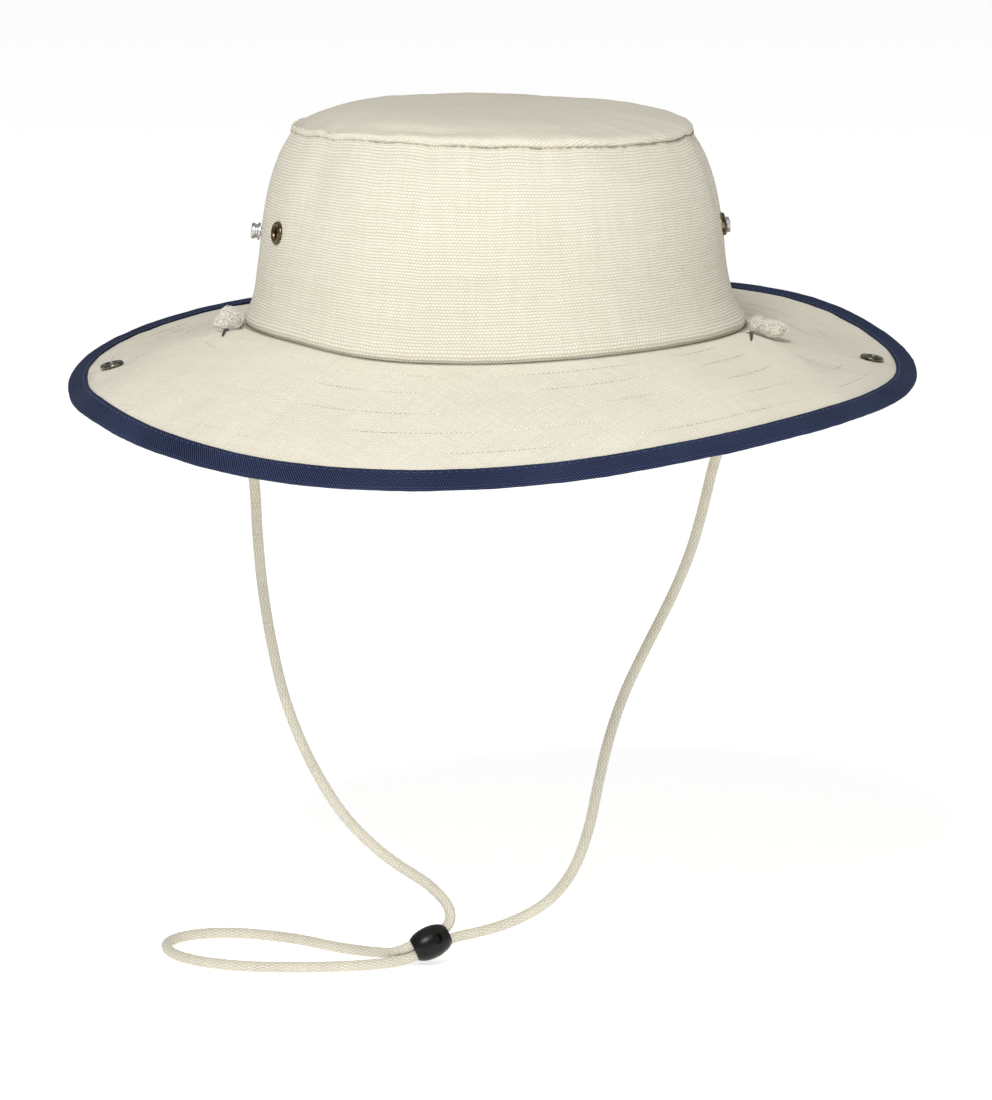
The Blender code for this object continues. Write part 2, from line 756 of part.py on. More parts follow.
def make_lock(parts, cutters):
    """The bead that slides on both strands: turned, cut square at both ends, with one long bore."""
    half, radius = LOCK_LENGTH / 2, LOCK_DIAMETER / 2
    centre, rotation = route_point(LOCK_PLACE), lock_rotation()
    profile = [(0.0, half)]
    for row in range(LOCK_ROWS + 1):
        height = half - LOCK_LENGTH * row / LOCK_ROWS
        bulge = 1 - abs(height / (half * LOCK_POINTEDNESS)) ** LOCK_FULLNESS
        profile.append((radius * bulge ** (1 / LOCK_FULLNESS), height))
    profile.append((0.0, -half))
    bead = turned("cord_lock", parts, "black_plastic", profile, centre, rotation.col[2])
    bead.rotation_quaternion = rotation.to_quaternion()
    length = CORD_DIAMETER + STRAND_SPACING + 2 * GAP
    width = CORD_DIAMETER + 2 * GAP
    cut(bead, obround_cutter("lock_bore", cutters, length, width, 2 * LOCK_LENGTH, centre, rotation))
    facing = (LOCK_FACING - rotation.col[2] * LOCK_RECESS_LEAN).normalized()
    place = centre + facing * radius * LOCK_RECESS_SEAT
    depth = 2 * LOCK_RECESS_DEPTH
    cut(bead, cylinder_cutter("lock_recess", cutters, LOCK_RECESS_RADIUS, depth, place, facing))


def strand_in_lock(side, heading):
    """Points straight through the lock for one of its two strands, entering and leaving clear of it."""
    rotation = lock_rotation()
    across, along = rotation.col[0], rotation.col[2] * heading
    middle = route_point(LOCK_PLACE) + across * side * STRAND_SPACING / 2
    reach = LOCK_LENGTH / 2 + LOCK_CLEAR_RUN
    return [middle - along * reach, middle, middle + along * reach]


def cord_stretches():
    """The route's stretches in order with their point spacing, each from where the last one ended."""
    left, turn, loop, right = (
        [route_point(row) for row in rows]
        for rows in (LEFT_STRAND, TURN_INTO_LOCK, LOOP_ON_GROUND, RIGHT_STRAND)
    )
    down, back = strand_in_lock(1, 1), strand_in_lock(-1, -1)
    left_end, right_end = (cord_seat(side)[0] for side in ("left", "right"))
    left_end.z -= CORD_END_DEPTH
    right_end.z -= CORD_END_DEPTH
    left.insert(0, left_end)
    right.append(right_end)
    return [
        (left, RUN_SPACING),
        ([left[-1], *turn, down[0]], TURN_SPACING),
        (down, LOCK_LENGTH),
        ([down[-1], *loop, back[0]], LOOP_SPACING),
        (back, LOCK_LENGTH),
        ([back[-1], *right], RUN_SPACING),
    ]


def cord_path():
    """Points along one smooth curve through the route, with one at each end of each stretch."""
    route, marks = [], []
    for points, spacing in cord_stretches():
        route += points if not route else points[1:]
        marks.append((len(route) - 1, spacing))
    lengths = [0.0]
    for start, end in zip(route, route[1:]):
        lengths.append(lengths[-1] + (end - start).length)
    rows = [(length, *place) for length, place in zip(lengths, route)]
    path, begin = [route[0]], 0.0
    for mark, spacing in marks:
        run = lengths[mark] - begin
        steps = max(2, round(run / spacing))
        for step in range(1, steps + 1):
            place = begin + run * step / steps
            path.append(Vector([smooth_value(rows, place, axis) for axis in (1, 2, 3)]))
        begin = lengths[mark]
    return path


def make_cord(parts):
    curve = bpy.data.curves.new("chin_cord", "CURVE")
    curve.dimensions = "3D"
    curve.bevel_depth = CORD_DIAMETER / 2
    curve.bevel_resolution = CORD_SIDES_RESOLUTION
    curve.render_resolution_u = 0
    curve.use_fill_caps = True
    spline = curve.splines.new("POLY")
    path = cord_path()
    spline.points.add(len(path) - 1)
    for point, place in zip(spline.points, path):
        point.co = (*place, 1.0)
    curve.materials.append(finish("cord_cotton"))
    parts.objects.link(bpy.data.objects.new("chin_cord", curve))


def main():
    clear_scene()
    parts = make_collection("outback_hat")
    cutters = make_collection("cutters")
    crown = make_crown(parts)
    brim = make_brim(parts)
    make_binding(parts)
    make_eyelets(parts, cutters, crown)
    make_studs(parts, cutters, crown)
    make_sockets(parts, cutters, brim)
    make_slits(cutters, brim)
    make_knot("left", parts, cutters, LEFT_KNOT_LUMPS)
    make_knot("right", parts, cutters, RIGHT_KNOT_LUMPS)
    make_lock(parts, cutters)
    make_cord(parts)


main()
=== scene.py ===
"""Looks of the outback hat: woven cloth, stitched rows, taped rim, turned metal and a braided cord.

Metres, in the model's own frame: +Z up, -Y the front, +X the hat's right as seen from the front.
Azimuths are in degrees, 0 at the front and 90 towards +X. The cloth's surfaces follow the sizes and
tables of the solids that they replace, on a finer mesh and with small changes to their looks.
"""

import math
import random

import bmesh
import bpy
import numpy as np
from mathutils import Matrix, Vector, noise


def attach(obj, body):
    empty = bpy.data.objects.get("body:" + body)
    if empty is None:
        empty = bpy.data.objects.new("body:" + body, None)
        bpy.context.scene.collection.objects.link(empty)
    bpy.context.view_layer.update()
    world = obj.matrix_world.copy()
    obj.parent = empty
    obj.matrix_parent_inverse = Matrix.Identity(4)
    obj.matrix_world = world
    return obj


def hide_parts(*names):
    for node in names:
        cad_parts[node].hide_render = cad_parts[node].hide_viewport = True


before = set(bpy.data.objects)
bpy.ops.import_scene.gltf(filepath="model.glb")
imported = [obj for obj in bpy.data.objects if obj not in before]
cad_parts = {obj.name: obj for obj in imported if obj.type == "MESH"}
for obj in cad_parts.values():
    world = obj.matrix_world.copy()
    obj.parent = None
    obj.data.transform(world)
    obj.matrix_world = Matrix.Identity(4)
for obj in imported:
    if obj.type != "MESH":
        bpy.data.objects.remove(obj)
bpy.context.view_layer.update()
BODY = "root"

# Camera, floor and light
CAMERA_PLACE = Vector((-0.3085, -2.3433, 0.3338))
CAMERA_AIM = Vector((0.0, 0.0, -0.083))
CAMERA_LENS = 212.07
CAMERA_SENSOR = 36.0
FLOOR_HEIGHT = -0.2392
FLOOR_SIZE = 30.0
WORLD_STRENGTH = 0.36
FLOOR_GLOW = 0.62
LIGHTS = (
    # name, azimuth, elevation, distance, size, power
    ("key", -20.0, 41.0, 2.2, 0.6, 37.0),
    ("fill", 50.0, 14.0, 2.6, 1.8, 6.0),
)

# Head opening and crown
HEAD_WIDTH = 0.183
HEAD_LENGTH = 0.185
CROWN_HEIGHT = 0.0730
CROWN_CLOTH = 0.0015
CROWN_LEAN_LEFT = 0.0013
CROWN_LEAN_START = 0.35
TIP_WIDTH = 0.1464
TIP_LENGTH = 0.141
TIP_RISE = 0.0096
TIP_PEAK_LEFT = 0.028
TIP_SLUMP_LEFT = 0.0030
SEAM_WAVE = 0.003
SEAM_RIPPLE = 0.0006

# Brim and the tape that binds its rim
BRIM_WIDTH = 0.0690
BRIM_TUCK = 0.0022
BRIM_CLOTH = 0.0014
BRIM_ARCH = 0.0022
BRIM_ARCH_SKEW = 1.5
CREASE_HEIGHT = 0.0033
CREASE_REACH = 0.68
CREASE_ONSET = 0.6
CREASE_FALL = 2.5
CREASE_TROUGH = 0.85
CREASE_TROUGH_ANGLE = 18.0
CREASE_ROUNDING = 0.35
TAPE_WIDTH = 0.0085
TAPE_CLOTH = 0.0005
TAPE_GAP = 0.0001
GAP = 0.0003
CUT_DEPTH = 0.012
TWILL_PITCH = 0.00105
TWILL_FLOAT = 0.00075
# Colour of the painted shade in the folds along the crown's seams
SEAM_SHADE_COLOUR = (0.055, 0.042, 0.028)

# Metal fittings
EYELET_HEIGHT = 0.0392
EYELET_FLANGE_RADIUS = 0.0043
EYELET_BARREL_RADIUS = 0.0027
EYELET_HOLE_RADIUS = 0.0021
EYELET_LIP = 0.0009
STUD_HEIGHT = 0.0363
STUD_POST_RADIUS = 0.0016
STUD_BASE_RADIUS = 0.0032
STUD_HEAD_RADIUS = 0.0029
STUD_NECK_RADIUS = 0.0025
STUD_STAND = 0.0037
STUD_CAP_RADIUS = 0.0048
STUD_CAP_HEIGHT = 0.0009
SOCKET_MARGIN = 0.0056
SOCKET_RADIUS = 0.0044
SOCKET_HOLE_RADIUS = 0.0022
SOCKET_RIM_HEIGHT = 0.0012
SOCKET_BARREL_RADIUS = 0.0031
SOCKET_CAP_HEIGHT = 0.0010
SOCKET_EASE = 0.00025
SOCKET_FLAT = 0.0085
SOCKET_LEVELLING = {"left": 1.1, "right": 0.5}

# Chin cord, its slits in the brim, its knots and its lock
CORD_DIAMETER = 0.0038
SLIT_REACH = 0.0056
SLIT_LENGTH = 0.0096
SLIT_WIDTH = 0.0046
CORD_END_DEPTH = 0.0002
CORD_SPREAD = HEAD_WIDTH / 2 + CROWN_CLOTH + SLIT_REACH
CORD_DROP = 0.2369
KNOT_SIZE = 0.0092
LOCK_LENGTH = 0.0145
LOCK_DIAMETER = 0.0122
LOCK_FULLNESS = 2.2
LOCK_POINTEDNESS = 1.22
LOCK_RECESS_RADIUS = 0.0019
LOCK_RECESS_DEPTH = 0.0011
LOCK_RECESS_SEAT = 0.97
LOCK_RECESS_LEAN = 0.55
LOCK_FACING = Vector((-0.13, -0.96, 0.24))
LOCK_CLEAR_RUN = 0.0019
STRAND_SPACING = 0.0041
LOCK_PLACE = (-0.255, -0.030, -0.974)
LOCK_AXIS = Vector((-0.900, -0.220, -0.360))
LOCK_ROLL = 15.0
LOCK_EDGE = 0.00035

# Fineness of the meshes
CROWN_COLUMNS = 380
CROWN_ROWS = 56
TIP_COLUMNS = 320
TIP_ROWS = 54
BRIM_COLUMNS = 720
BRIM_ROWS = 48
TAPE_COLUMNS = 640
TURNED_SIDES = 72

# The crown's upright profile: spread is 1 at the opening's outline and 0 at the tip's
CROWN_PROFILE = (
    # height, spread
    (-0.012, 0.925),
    (0.000, 0.950),
    (0.014, 0.985),
    (0.035, 1.00),
    (0.070, 0.91),
    (0.160, 0.77),
    (0.310, 0.66),
    (0.530, 0.57),
    (0.730, 0.43),
    (0.860, 0.26),
    (0.930, 0.12),
    (0.980, 0.00),
    (1.000, 0.00),
)

# The tip's profile from its sewn edge to its peak, as shares of its outline and of its rise
TIP_PROFILE = (
    # distance_in, outline, rise
    (0.000, 0.984, -0.02),
    (0.008, 0.993, 0.05),
    (0.020, 0.997, 0.14),
    (0.045, 0.986, 0.26),
    (0.090, 0.945, 0.40),
    (0.180, 0.850, 0.60),
    (0.360, 0.660, 0.80),
    (0.660, 0.360, 0.95),
    (1.000, 0.000, 1.00),
)

# How far the crown's two seams stand above their mean height, as shares of the seams' wave
SEAM_HEIGHTS = (
    # azimuth, brim_seam, tip_seam
    (-150.0, 0.50, 0.10),
    (-97.0, 0.85, 0.20),
    (-62.0, 0.95, 0.70),
    (-35.0, 0.00, 0.85),
    (-10.0, 0.05, 0.60),
    (10.0, 0.42, 0.45),
    (30.0, 0.77, 0.15),
    (50.0, 0.87, 0.00),
    (75.0, 0.70, -0.10),
    (105.0, 0.35, 0.00),
    (150.0, 0.30, 0.10),
)

# Where the fittings sit round the hat
EYELET_AZIMUTHS = {
    "front_left": -74.0,
    "front_right": 78.0,
    "rear_left": -110.0,
    "rear_right": 110.0,
}
STUD_AZIMUTHS = {"left": -94.0, "right": 91.0}
SOCKET_AZIMUTHS = {"left": -94.5, "right": 80.3}

# The slits' azimuths, and how far each one turns forward as it runs out
SLITS = {
    # side: azimuth, turn
    "left": (-88.5, 20.0),
    "right": (74.0, 30.0),
}

# The painted shadow along each slit's front, laid on the brim as a thin dark tube: azimuth and share of
# the brim's width at its two ends
SLIT_SHADOW_LINES = {
    # side: azimuth, share, azimuth, share
    "left": (-90.0, 0.030, -78.5, 0.165),
    "right": (66.5, 0.020, 54.0, 0.165),
}
SLIT_SHADOW_RADIUS = 0.0007

# Soft dents near the crown's shoulders, with their sizes as shares of the crown's height
SHOULDER_DENTS = (
    # azimuth, height, depth, half_angle, half_height
    (-60.0, 0.76, 0.022, 7.0, 0.20),
    (74.0, 0.78, 0.020, 6.0, 0.18),
    (160.0, 0.74, 0.018, 9.0, 0.22),
)

# Troughs pressed into the tip just inside its rolled edge
TIP_TROUGHS = (
    # azimuth, outline, depth, half_angle, half_outline
    (-27.0, 0.925, 0.0013, 17.0, 0.045),
    (22.0, 0.90, 0.0006, 20.0, 0.060),
    (140.0, 0.92, 0.0009, 25.0, 0.050),
)

# How the brim hangs round the hat: its droop in degrees, its chord as a share of its width, and its
# arch as a share of the common arch
BRIM_SECTIONS = (
    # azimuth, droop, chord, arch
    (-150.0, 5.9, 1.00, -0.9),
    (-125.0, 11.2, 1.00, -0.6),
    (-105.0, 16.8, 1.00, 0.7),
    (-92.0, 20.4, 0.985, 1.6),
    (-78.0, 21.0, 0.985, 1.6),
    (-60.0, 25.5, 0.99, 1.0),
    (-40.0, 29.8, 1.00, 1.0),
    (-20.0, 30.3, 1.00, 1.0),
    (0.0, 27.0, 1.00, 1.0),
    (20.0, 20.9, 1.00, 1.0),
    (40.0, 16.4, 0.985, 1.0),
    (60.0, 15.2, 0.945, 0.8),
    (80.0, 13.8, 0.92, -0.3),
    (100.0, 9.6, 0.94, -1.0),
    (125.0, 2.2, 0.99, -1.0),
    (150.0, 0.7, 1.00, -0.8),
    (180.0, 3.3, 1.00, -0.8),
)

# The creases that run out across the brim beside the slits, highest about a fifth of the way out
BRIM_CREASES = (
    # azimuth_at_seam, azimuth_at_rim, front_angle, rear_angle
    (-80.0, -99.0, 26.0, 10.0),
    (61.0, 49.0, 24.0, 12.0),
)

# The brim's stitched rows as shares of its width, their groove and their thread
STITCH_ROWS = (0.10, 0.25, 0.43, 0.59, 0.75)
STITCH_PITCH = 0.0036
STITCH_LENGTH = 0.0028
STITCH_THICKNESS = 0.00036
GROOVE_HALF_WIDTH = 0.0008
GROOVE_THINNING = 0.07
FACES = (("top", 1), ("under", -1))
STITCH_SHIFT = 0.0007
THREAD_EASE = 0.00005
SLIT_CLEARANCE = 0.0065
SOCKET_CLEARANCE = 0.0062
TAPE_STITCH_INSET = 0.0013
TAPE_STITCH_PITCH = 0.0030
TAPE_STITCH_LENGTH = 0.0021
TAPE_STITCH_THICKNESS = 0.0004

# The lumps that make up each knot, as shares of the knot's size
KNOT_LUMPS = {
    "left": (
        # outward, rearward, upward, half_width, half_depth, half_height
        (-0.20, 0.24, 0.56, 0.38, 0.44, 0.36),
        (0.12, 0.26, 0.50, 0.34, 0.36, 0.32),
        (-0.18, 0.38, 0.74, 0.32, 0.34, 0.30),
    ),
    "right": (
        # outward, rearward, upward, half_width, half_depth, half_height
        (-0.30, 0.16, 0.40, 0.27, 0.26, 0.22),
        (0.10, 0.24, 0.44, 0.30, 0.30, 0.24),
        (0.46, 0.34, 0.50, 0.40, 0.34, 0.28),
    ),
}

# Loose ends that stand off each knot: fine fibres, then thicker curled yarns
LOOSE_ENDS = (
    # count, shortest, longest, thinnest, thickest, curl, fall
    (900, 0.0008, 0.0026, 0.00005, 0.00010, 0.0004, 0.4),
    (130, 0.0016, 0.0036, 0.00020, 0.00030, 0.0010, 0.9),
)
LOOSE_END_STEPS = 7
KNOT_SEEDS = {"left": 11, "right": 23}
KNOT_GRAIN = 0.00030

# The cord's route, sideways and rearward as shares of its spread at the slits and upward as shares
# of its drop. It starts and ends in the slits. It runs through the lock between the turn and the
# loop, and again after the loop
LEFT_STRAND = (
    # sideways, rearward, upward
    (-0.996, -0.061, -0.032),
    (-0.976, -0.055, -0.088),
    (-0.940, -0.045, -0.160),
    (-0.912, -0.034, -0.234),
    (-0.901, -0.020, -0.312),
    (-0.883, -0.004, -0.395),
    (-0.848, 0.012, -0.488),
    (-0.795, 0.022, -0.583),
    (-0.712, 0.027, -0.673),
    (-0.590, 0.027, -0.762),
    (-0.458, 0.022, -0.823),
    (-0.350, 0.016, -0.858),
    (-0.261, 0.012, -0.882),
)
TURN_INTO_LOCK = (
    # sideways, rearward, upward
    (-0.213, 0.008, -0.902),
    (-0.179, 0.004, -0.918),
    (-0.167, -0.003, -0.934),
)
LOOP_ON_GROUND = (
    # sideways, rearward, upward
    (-0.393, -0.028, -0.990),
    (-0.449, 0.030, -0.993),
    (-0.515, 0.111, -0.997),
    (-0.602, 0.219, -1.000),
    (-0.704, 0.337, -1.000),
    (-0.816, 0.423, -1.000),
    (-0.936, 0.484, -1.000),
    (-1.051, 0.497, -1.000),
    (-1.148, 0.459, -1.000),
    (-1.214, 0.378, -1.000),
    (-1.232, 0.270, -1.000),
    (-1.199, 0.143, -1.000),
    (-1.117, 0.036, -1.000),
    (-0.990, -0.046, -1.000),
    (-0.837, -0.090, -1.000),
    (-0.673, -0.107, -1.000),
    (-0.510, -0.100, -1.000),
    (-0.408, -0.073, -1.000),
)
RIGHT_STRAND = (
    # sideways, rearward, upward
    (-0.112, -0.009, -0.965),
    (-0.046, -0.014, -0.959),
    (0.056, -0.020, -0.946),
    (0.190, -0.031, -0.915),
    (0.286, -0.039, -0.866),
    (0.347, -0.045, -0.798),
    (0.386, -0.045, -0.720),
    (0.427, -0.050, -0.647),
    (0.483, -0.075, -0.573),
    (0.569, -0.110, -0.491),
    (0.657, -0.145, -0.410),
    (0.715, -0.170, -0.344),
    (0.753, -0.190, -0.282),
    (0.796, -0.208, -0.202),
    (0.856, -0.225, -0.132),
    (0.914, -0.240, -0.072),
    (0.955, -0.247, -0.034),
)

# The braid: strands each way round, the length of one diamond, its relief and the mesh's steps
BRAID_STRANDS = 10
BRAID_DIAMOND = 0.0017
BRAID_RELIEF = 0.00036
CORD_STEP = 0.00036
CORD_SIDES = 40
CORD_EASING = 180


def smooth_value(rows, place, column, period=None):
    """Value of a table's column at a place, on a smooth curve through the table's rows."""
    keys = [row[0] for row in rows]
    values = [row[column] for row in rows]
    if period:
        while place < keys[0]:
            place += period
        while place >= keys[0] + period:
            place -= period
        keys = [keys[-1] - period, *keys, keys[0] + period, keys[1] + period]
        values = [values[-1], *values, values[0], values[1]]
    last = len(keys) - 2
    span = 0
    while span < last and place > keys[span + 1]:
        span += 1

    def slope(index):
        low, high = max(index - 1, 0), min(index + 1, len(keys) - 1)
        return (values[high] - values[low]) / (keys[high] - keys[low])

    width = keys[span + 1] - keys[span]
    t = (place - keys[span]) / width
    start, end = values[span], values[span + 1]
    rise_in, rise_out = slope(span) * width, slope(span + 1) * width
    return (
        (2 * t**3 - 3 * t**2 + 1) * start
        + (t**3 - 2 * t**2 + t) * rise_in
        + (3 * t**2 - 2 * t**3) * end
        + (t**3 - t**2) * rise_out
    )


def smooth_step(low, high, value):
    t = min(max((value - low) / (high - low), 0.0), 1.0)
    return t * t * (3 - 2 * t)


def outward(azimuth):
    angle = math.radians(azimuth)
    return Vector((math.sin(angle), -math.cos(angle), 0.0))


def on_oval(azimuth, width, length):
    direction = outward(azimuth)
    return Vector((direction.x * width / 2, direction.y * length / 2, 0.0))


def angle_between(azimuth, other):
    return (azimuth - other + 180.0) % 360.0 - 180.0


def ripple(azimuth, height, pitch, seed):
    """Soft random value from -1 to 1 round the hat, with the given pitch in metres."""
    around = outward(azimuth) * HEAD_WIDTH / 2 / pitch
    return noise.noise(Vector((around.x, around.y, height / pitch + seed * 7.3)))


def seam_height(azimuth):
    """Height of the seam between crown and brim."""
    return SEAM_WAVE * smooth_value(SEAM_HEIGHTS, azimuth, 1, 360.0)


def tip_seam_height(azimuth):
    """Height of the seam between the crown's side and its tip, with the sewing's small waves."""
    wave = SEAM_RIPPLE * ripple(azimuth, 0.0, 0.011, 1)
    return CROWN_HEIGHT + SEAM_WAVE * smooth_value(SEAM_HEIGHTS, azimuth, 2, 360.0) + wave


def crown_lean(share):
    """How far to the left the crown stands at a share of its height."""
    return CROWN_LEAN_LEFT * math.sin(math.pi / 2 * min(1.0, share / CROWN_LEAN_START))


def crown_point(azimuth, share):
    """Middle of the crown's side cloth at a share of its height."""
    spread = smooth_value(CROWN_PROFILE, share, 1)
    wide = on_oval(azimuth, HEAD_WIDTH, HEAD_LENGTH)
    narrow = on_oval(azimuth, TIP_WIDTH, TIP_LENGTH)
    point = narrow.lerp(wide, spread)
    point.x -= crown_lean(share)
    low = seam_height(azimuth) + GAP / 2
    point.z = low + (tip_seam_height(azimuth) - low) * share
    for centre, height, depth, half_angle, half_height in SHOULDER_DENTS:
        across = angle_between(azimuth, centre) / half_angle
        along = (share - height) / half_height
        point -= outward(azimuth) * depth * CROWN_HEIGHT * math.exp(-across**2 - along**2)
    return point


def tip_point(azimuth, place):
    """Middle of the tip's cloth at a place from its edge, 0, to its peak, 1."""
    outline = smooth_value(TIP_PROFILE, place, 1)
    rise = smooth_value(TIP_PROFILE, place, 2)
    point = on_oval(azimuth, TIP_WIDTH, TIP_LENGTH) * outline
    point.x -= CROWN_LEAN_LEFT + TIP_PEAK_LEFT * (1 - outline) * outline
    seam = tip_seam_height(azimuth) - CROWN_HEIGHT
    point.z = CROWN_HEIGHT + seam * max(outline, 0.0) ** 2 + GAP + TIP_RISE * rise
    left = max(0.0, -math.sin(math.radians(azimuth))) ** 3
    slump = smooth_step(0.55, 0.97, outline) * (1 - smooth_step(0.985, 1.0, outline))
    point.z -= TIP_SLUMP_LEFT * left * slump
    for centre, middle, depth, half_angle, half_outline in TIP_TROUGHS:
        across = angle_between(azimuth, centre) / half_angle
        along = (outline - middle) / half_outline
        point.z -= depth * math.exp(-across**2 - along**2)
    return point


def crease_form(behind, front_angle, rear_angle):
    """A crease's height across it, from a gentle front slope over a ridge into a trough behind."""
    if behind > 0:
        form = max(1.0 - CREASE_FALL * behind / rear_angle, -CREASE_TROUGH)
        return form * math.exp(-max(0.0, behind - rear_angle) / CREASE_TROUGH_ANGLE)
    return math.exp(behind / front_angle)


def crease_lift(azimuth, share):
    """Height of the brim's creases above its plain surface, with their ridges rounded a little."""
    lift = 0.0
    for seam_azimuth, rim_azimuth, front_angle, rear_angle in BRIM_CREASES:
        line = seam_azimuth + (rim_azimuth - seam_azimuth) * share
        behind = angle_between(azimuth, line) * math.copysign(1.0, seam_azimuth)
        fade = math.sin(math.pi * min(max(share / CREASE_REACH, 0.0), 1.0) ** CREASE_ONSET)
        forms = [
            crease_form(behind + offset * CREASE_ROUNDING, front_angle, rear_angle)
            for offset in (-1, 0, 1)
        ]
        lift += CREASE_HEIGHT * fade * sum(forms) / len(forms)
    return lift


def brim_point(azimuth, share):
    """Middle of the brim's cloth at a share of its width, from the crown's outer face to the rim."""
    direction = outward(azimuth)
    droop = math.radians(smooth_value(BRIM_SECTIONS, azimuth, 1, 360.0))
    chord = BRIM_WIDTH * smooth_value(BRIM_SECTIONS, azimuth, 2, 360.0)
    along = chord * share
    arch = BRIM_ARCH * smooth_value(BRIM_SECTIONS, azimuth, 3, 360.0)
    lift = arch * math.sin(math.pi * max(share, 0.0) ** BRIM_ARCH_SKEW) + crease_lift(azimuth, share)
    point = on_oval(azimuth, HEAD_WIDTH, HEAD_LENGTH) + direction * CROWN_CLOTH
    point += direction * (along * math.cos(droop) + lift * math.sin(droop))
    point.z = lift * math.cos(droop) - along * math.sin(droop)
    point.z += seam_height(azimuth) * (1 - share) - (BRIM_CLOTH + GAP) / 2
    return point


def brim_frame(azimuth, share):
    """Point, outward tangent and upward normal of the brim's middle."""
    step, turn = 0.004, 0.4
    point = brim_point(azimuth, share)
    tangent = (point - brim_point(azimuth, share - step)).normalized()
    around = (brim_point(azimuth + turn, share) - brim_point(azimuth - turn, share)).normalized()
    return point, tangent, tangent.cross(around).normalized()


def crown_frame(azimuth, height):
    """Point and outward normal of the crown's side at a height above the opening."""
    share = (height - seam_height(azimuth)) / (tip_seam_height(azimuth) - seam_height(azimuth))
    step, turn = 0.01, 1.0
    point = crown_point(azimuth, share)
    up = crown_point(azimuth, share + step) - crown_point(azimuth, share - step)
    around = crown_point(azimuth + turn, share) - crown_point(azimuth - turn, share)
    return point, around.cross(up).normalized()


def node(tree, kind, values=(), **settings):
    """A shader node with its settings, and its inputs set to values or linked from sockets."""
    made = tree.nodes.new("ShaderNode" + kind)
    for key, value in settings.items():
        setattr(made, key, value)
    for key, value in dict(values).items():
        if isinstance(value, bpy.types.NodeSocket):
            tree.links.new(value, made.inputs[key])
        else:
            made.inputs[key].default_value = value
    return made


def chained(tree, kind, *values):
    """The result of a chain of one kind of Math node over its values."""
    result = values[0]
    for value in values[1:]:
        result = node(tree, "Math", {0: result, 1: value}, operation=kind).outputs[0]
    return result


def plus(tree, *values):
    return chained(tree, "ADD", *values)


def times(tree, *values):
    return chained(tree, "MULTIPLY", *values)


def weighted(tree, *pairs):
    """The sum of values, each times its weight."""
    return plus(tree, *[times(tree, value, weight) for value, weight in pairs])


def ranged(tree, value, low, high, start=0.0, end=1.0):
    """A value brought from one range to another, and held inside it."""
    return node(tree, "MapRange", {0: value, 1: low, 2: high, 3: start, 4: end}).outputs[0]


def blended(tree, share, *colours):
    """Colour between two colours or colour sockets, at a share that is a number or a socket."""
    low, high = ((*each, 1.0) if isinstance(each, tuple) else each for each in colours)
    return node(tree, "Mix", {0: share, 6: low, 7: high}, data_type="RGBA").outputs[2]


def new_material(name, roughness, metallic=0.0, **extra):
    """A material with a Principled shader whose even values are set on its own sockets."""
    material = bpy.data.materials.new(name)
    material.use_nodes = True
    shader = material.node_tree.nodes["Principled BSDF"]
    for key, value in {"Roughness": roughness, "Metallic": metallic, **extra}.items():
        shader.inputs[key.replace("_", " ")].default_value = value
    return material, material.node_tree, shader


def dress(tree, shader, colour, rough, strength, depth, height):
    """Links a shader's colour and roughness, and a bump of a strength and depth over a height."""
    bump = node(tree, "Bump", {"Strength": strength, "Distance": depth, "Height": height}).outputs[0]
    for name, value in (("Base Color", colour), ("Roughness", rough), ("Normal", bump)):
        tree.links.new(value, shader.inputs[name])


def cloth_place(tree):
    """The place on the flat cloth in metres, as its two coordinates, and the joined vector."""
    place = node(tree, "UVMap", uv_map="cloth").outputs[0]
    parts = node(tree, "SeparateXYZ", {0: place})
    return place, parts.outputs[0], parts.outputs[1]


def noise_value(tree, place, scale, detail=2.0, stretch=(1.0, 1.0, 1.0)):
    scaled = node(tree, "VectorMath", {0: place, 1: stretch}, operation="MULTIPLY").outputs[0]
    return node(tree, "TexNoise", {"Vector": scaled, "Scale": scale, "Detail": detail}).outputs[0]


def object_place(tree):
    return node(tree, "TexCoord").outputs["Object"]


def wave_value(tree, value):
    """A rounded wave from 0 to 1 and back over each whole step of a value."""
    saw = chained(tree, "PINGPONG", value, 0.5)
    return node(tree, "Math", {0: times(tree, saw, math.pi)}, operation="SINE").outputs[0]


def thread_noise(tree, scale, across, along):
    """An even value for each thread that changes slowly along it."""
    place = node(tree, "CombineXYZ", {0: across, 1: along}).outputs[0]
    return node(tree, "TexNoise", {"Vector": place, "Scale": scale, "Detail": 1.0}).outputs[0]


def seam_shade_patches(tree, place):
    """Uneven patches from 0 to 1, so that a seam's painted shade comes and goes."""
    return ranged(tree, noise_value(tree, place, 420.0, 1.0), 0.35, 0.60)


def reach_of(tree, place):
    """Distance of a place from the hat's axis."""
    return node(tree, "VectorMath", {0: place}, operation="LENGTH").outputs["Value"]


def crown_shade(tree, place, along):
    """Painted shade in the folds where the crown's side is sewn to the brim below and to the tip above."""
    low = ranged(tree, along, 0.0008, 0.0002)
    high = ranged(tree, along, CROWN_HEIGHT - 0.0007, CROWN_HEIGHT - 0.0003)
    return chained(tree, "MAXIMUM", times(tree, low, 0.5), times(tree, high, seam_shade_patches(tree, place), 0.45))


def tip_shade(tree, place, along):
    """Painted shade in the fold where the tip is sewn to the crown's side."""
    outline = (2 / TIP_WIDTH, 2 / TIP_LENGTH, 0.0)
    shares = node(tree, "VectorMath", {0: place, 1: outline}, operation="MULTIPLY").outputs[0]
    edge = ranged(tree, reach_of(tree, shares), 1.009, 1.016)
    return times(tree, edge, seam_shade_patches(tree, place), 0.35)


def brim_shade(tree, place, along):
    """Painted shade in the fold where the brim is sewn to the crown."""
    return times(tree, ranged(tree, reach_of(tree, place), HEAD_WIDTH / 2 + 0.0004, HEAD_WIDTH / 2), 0.5)


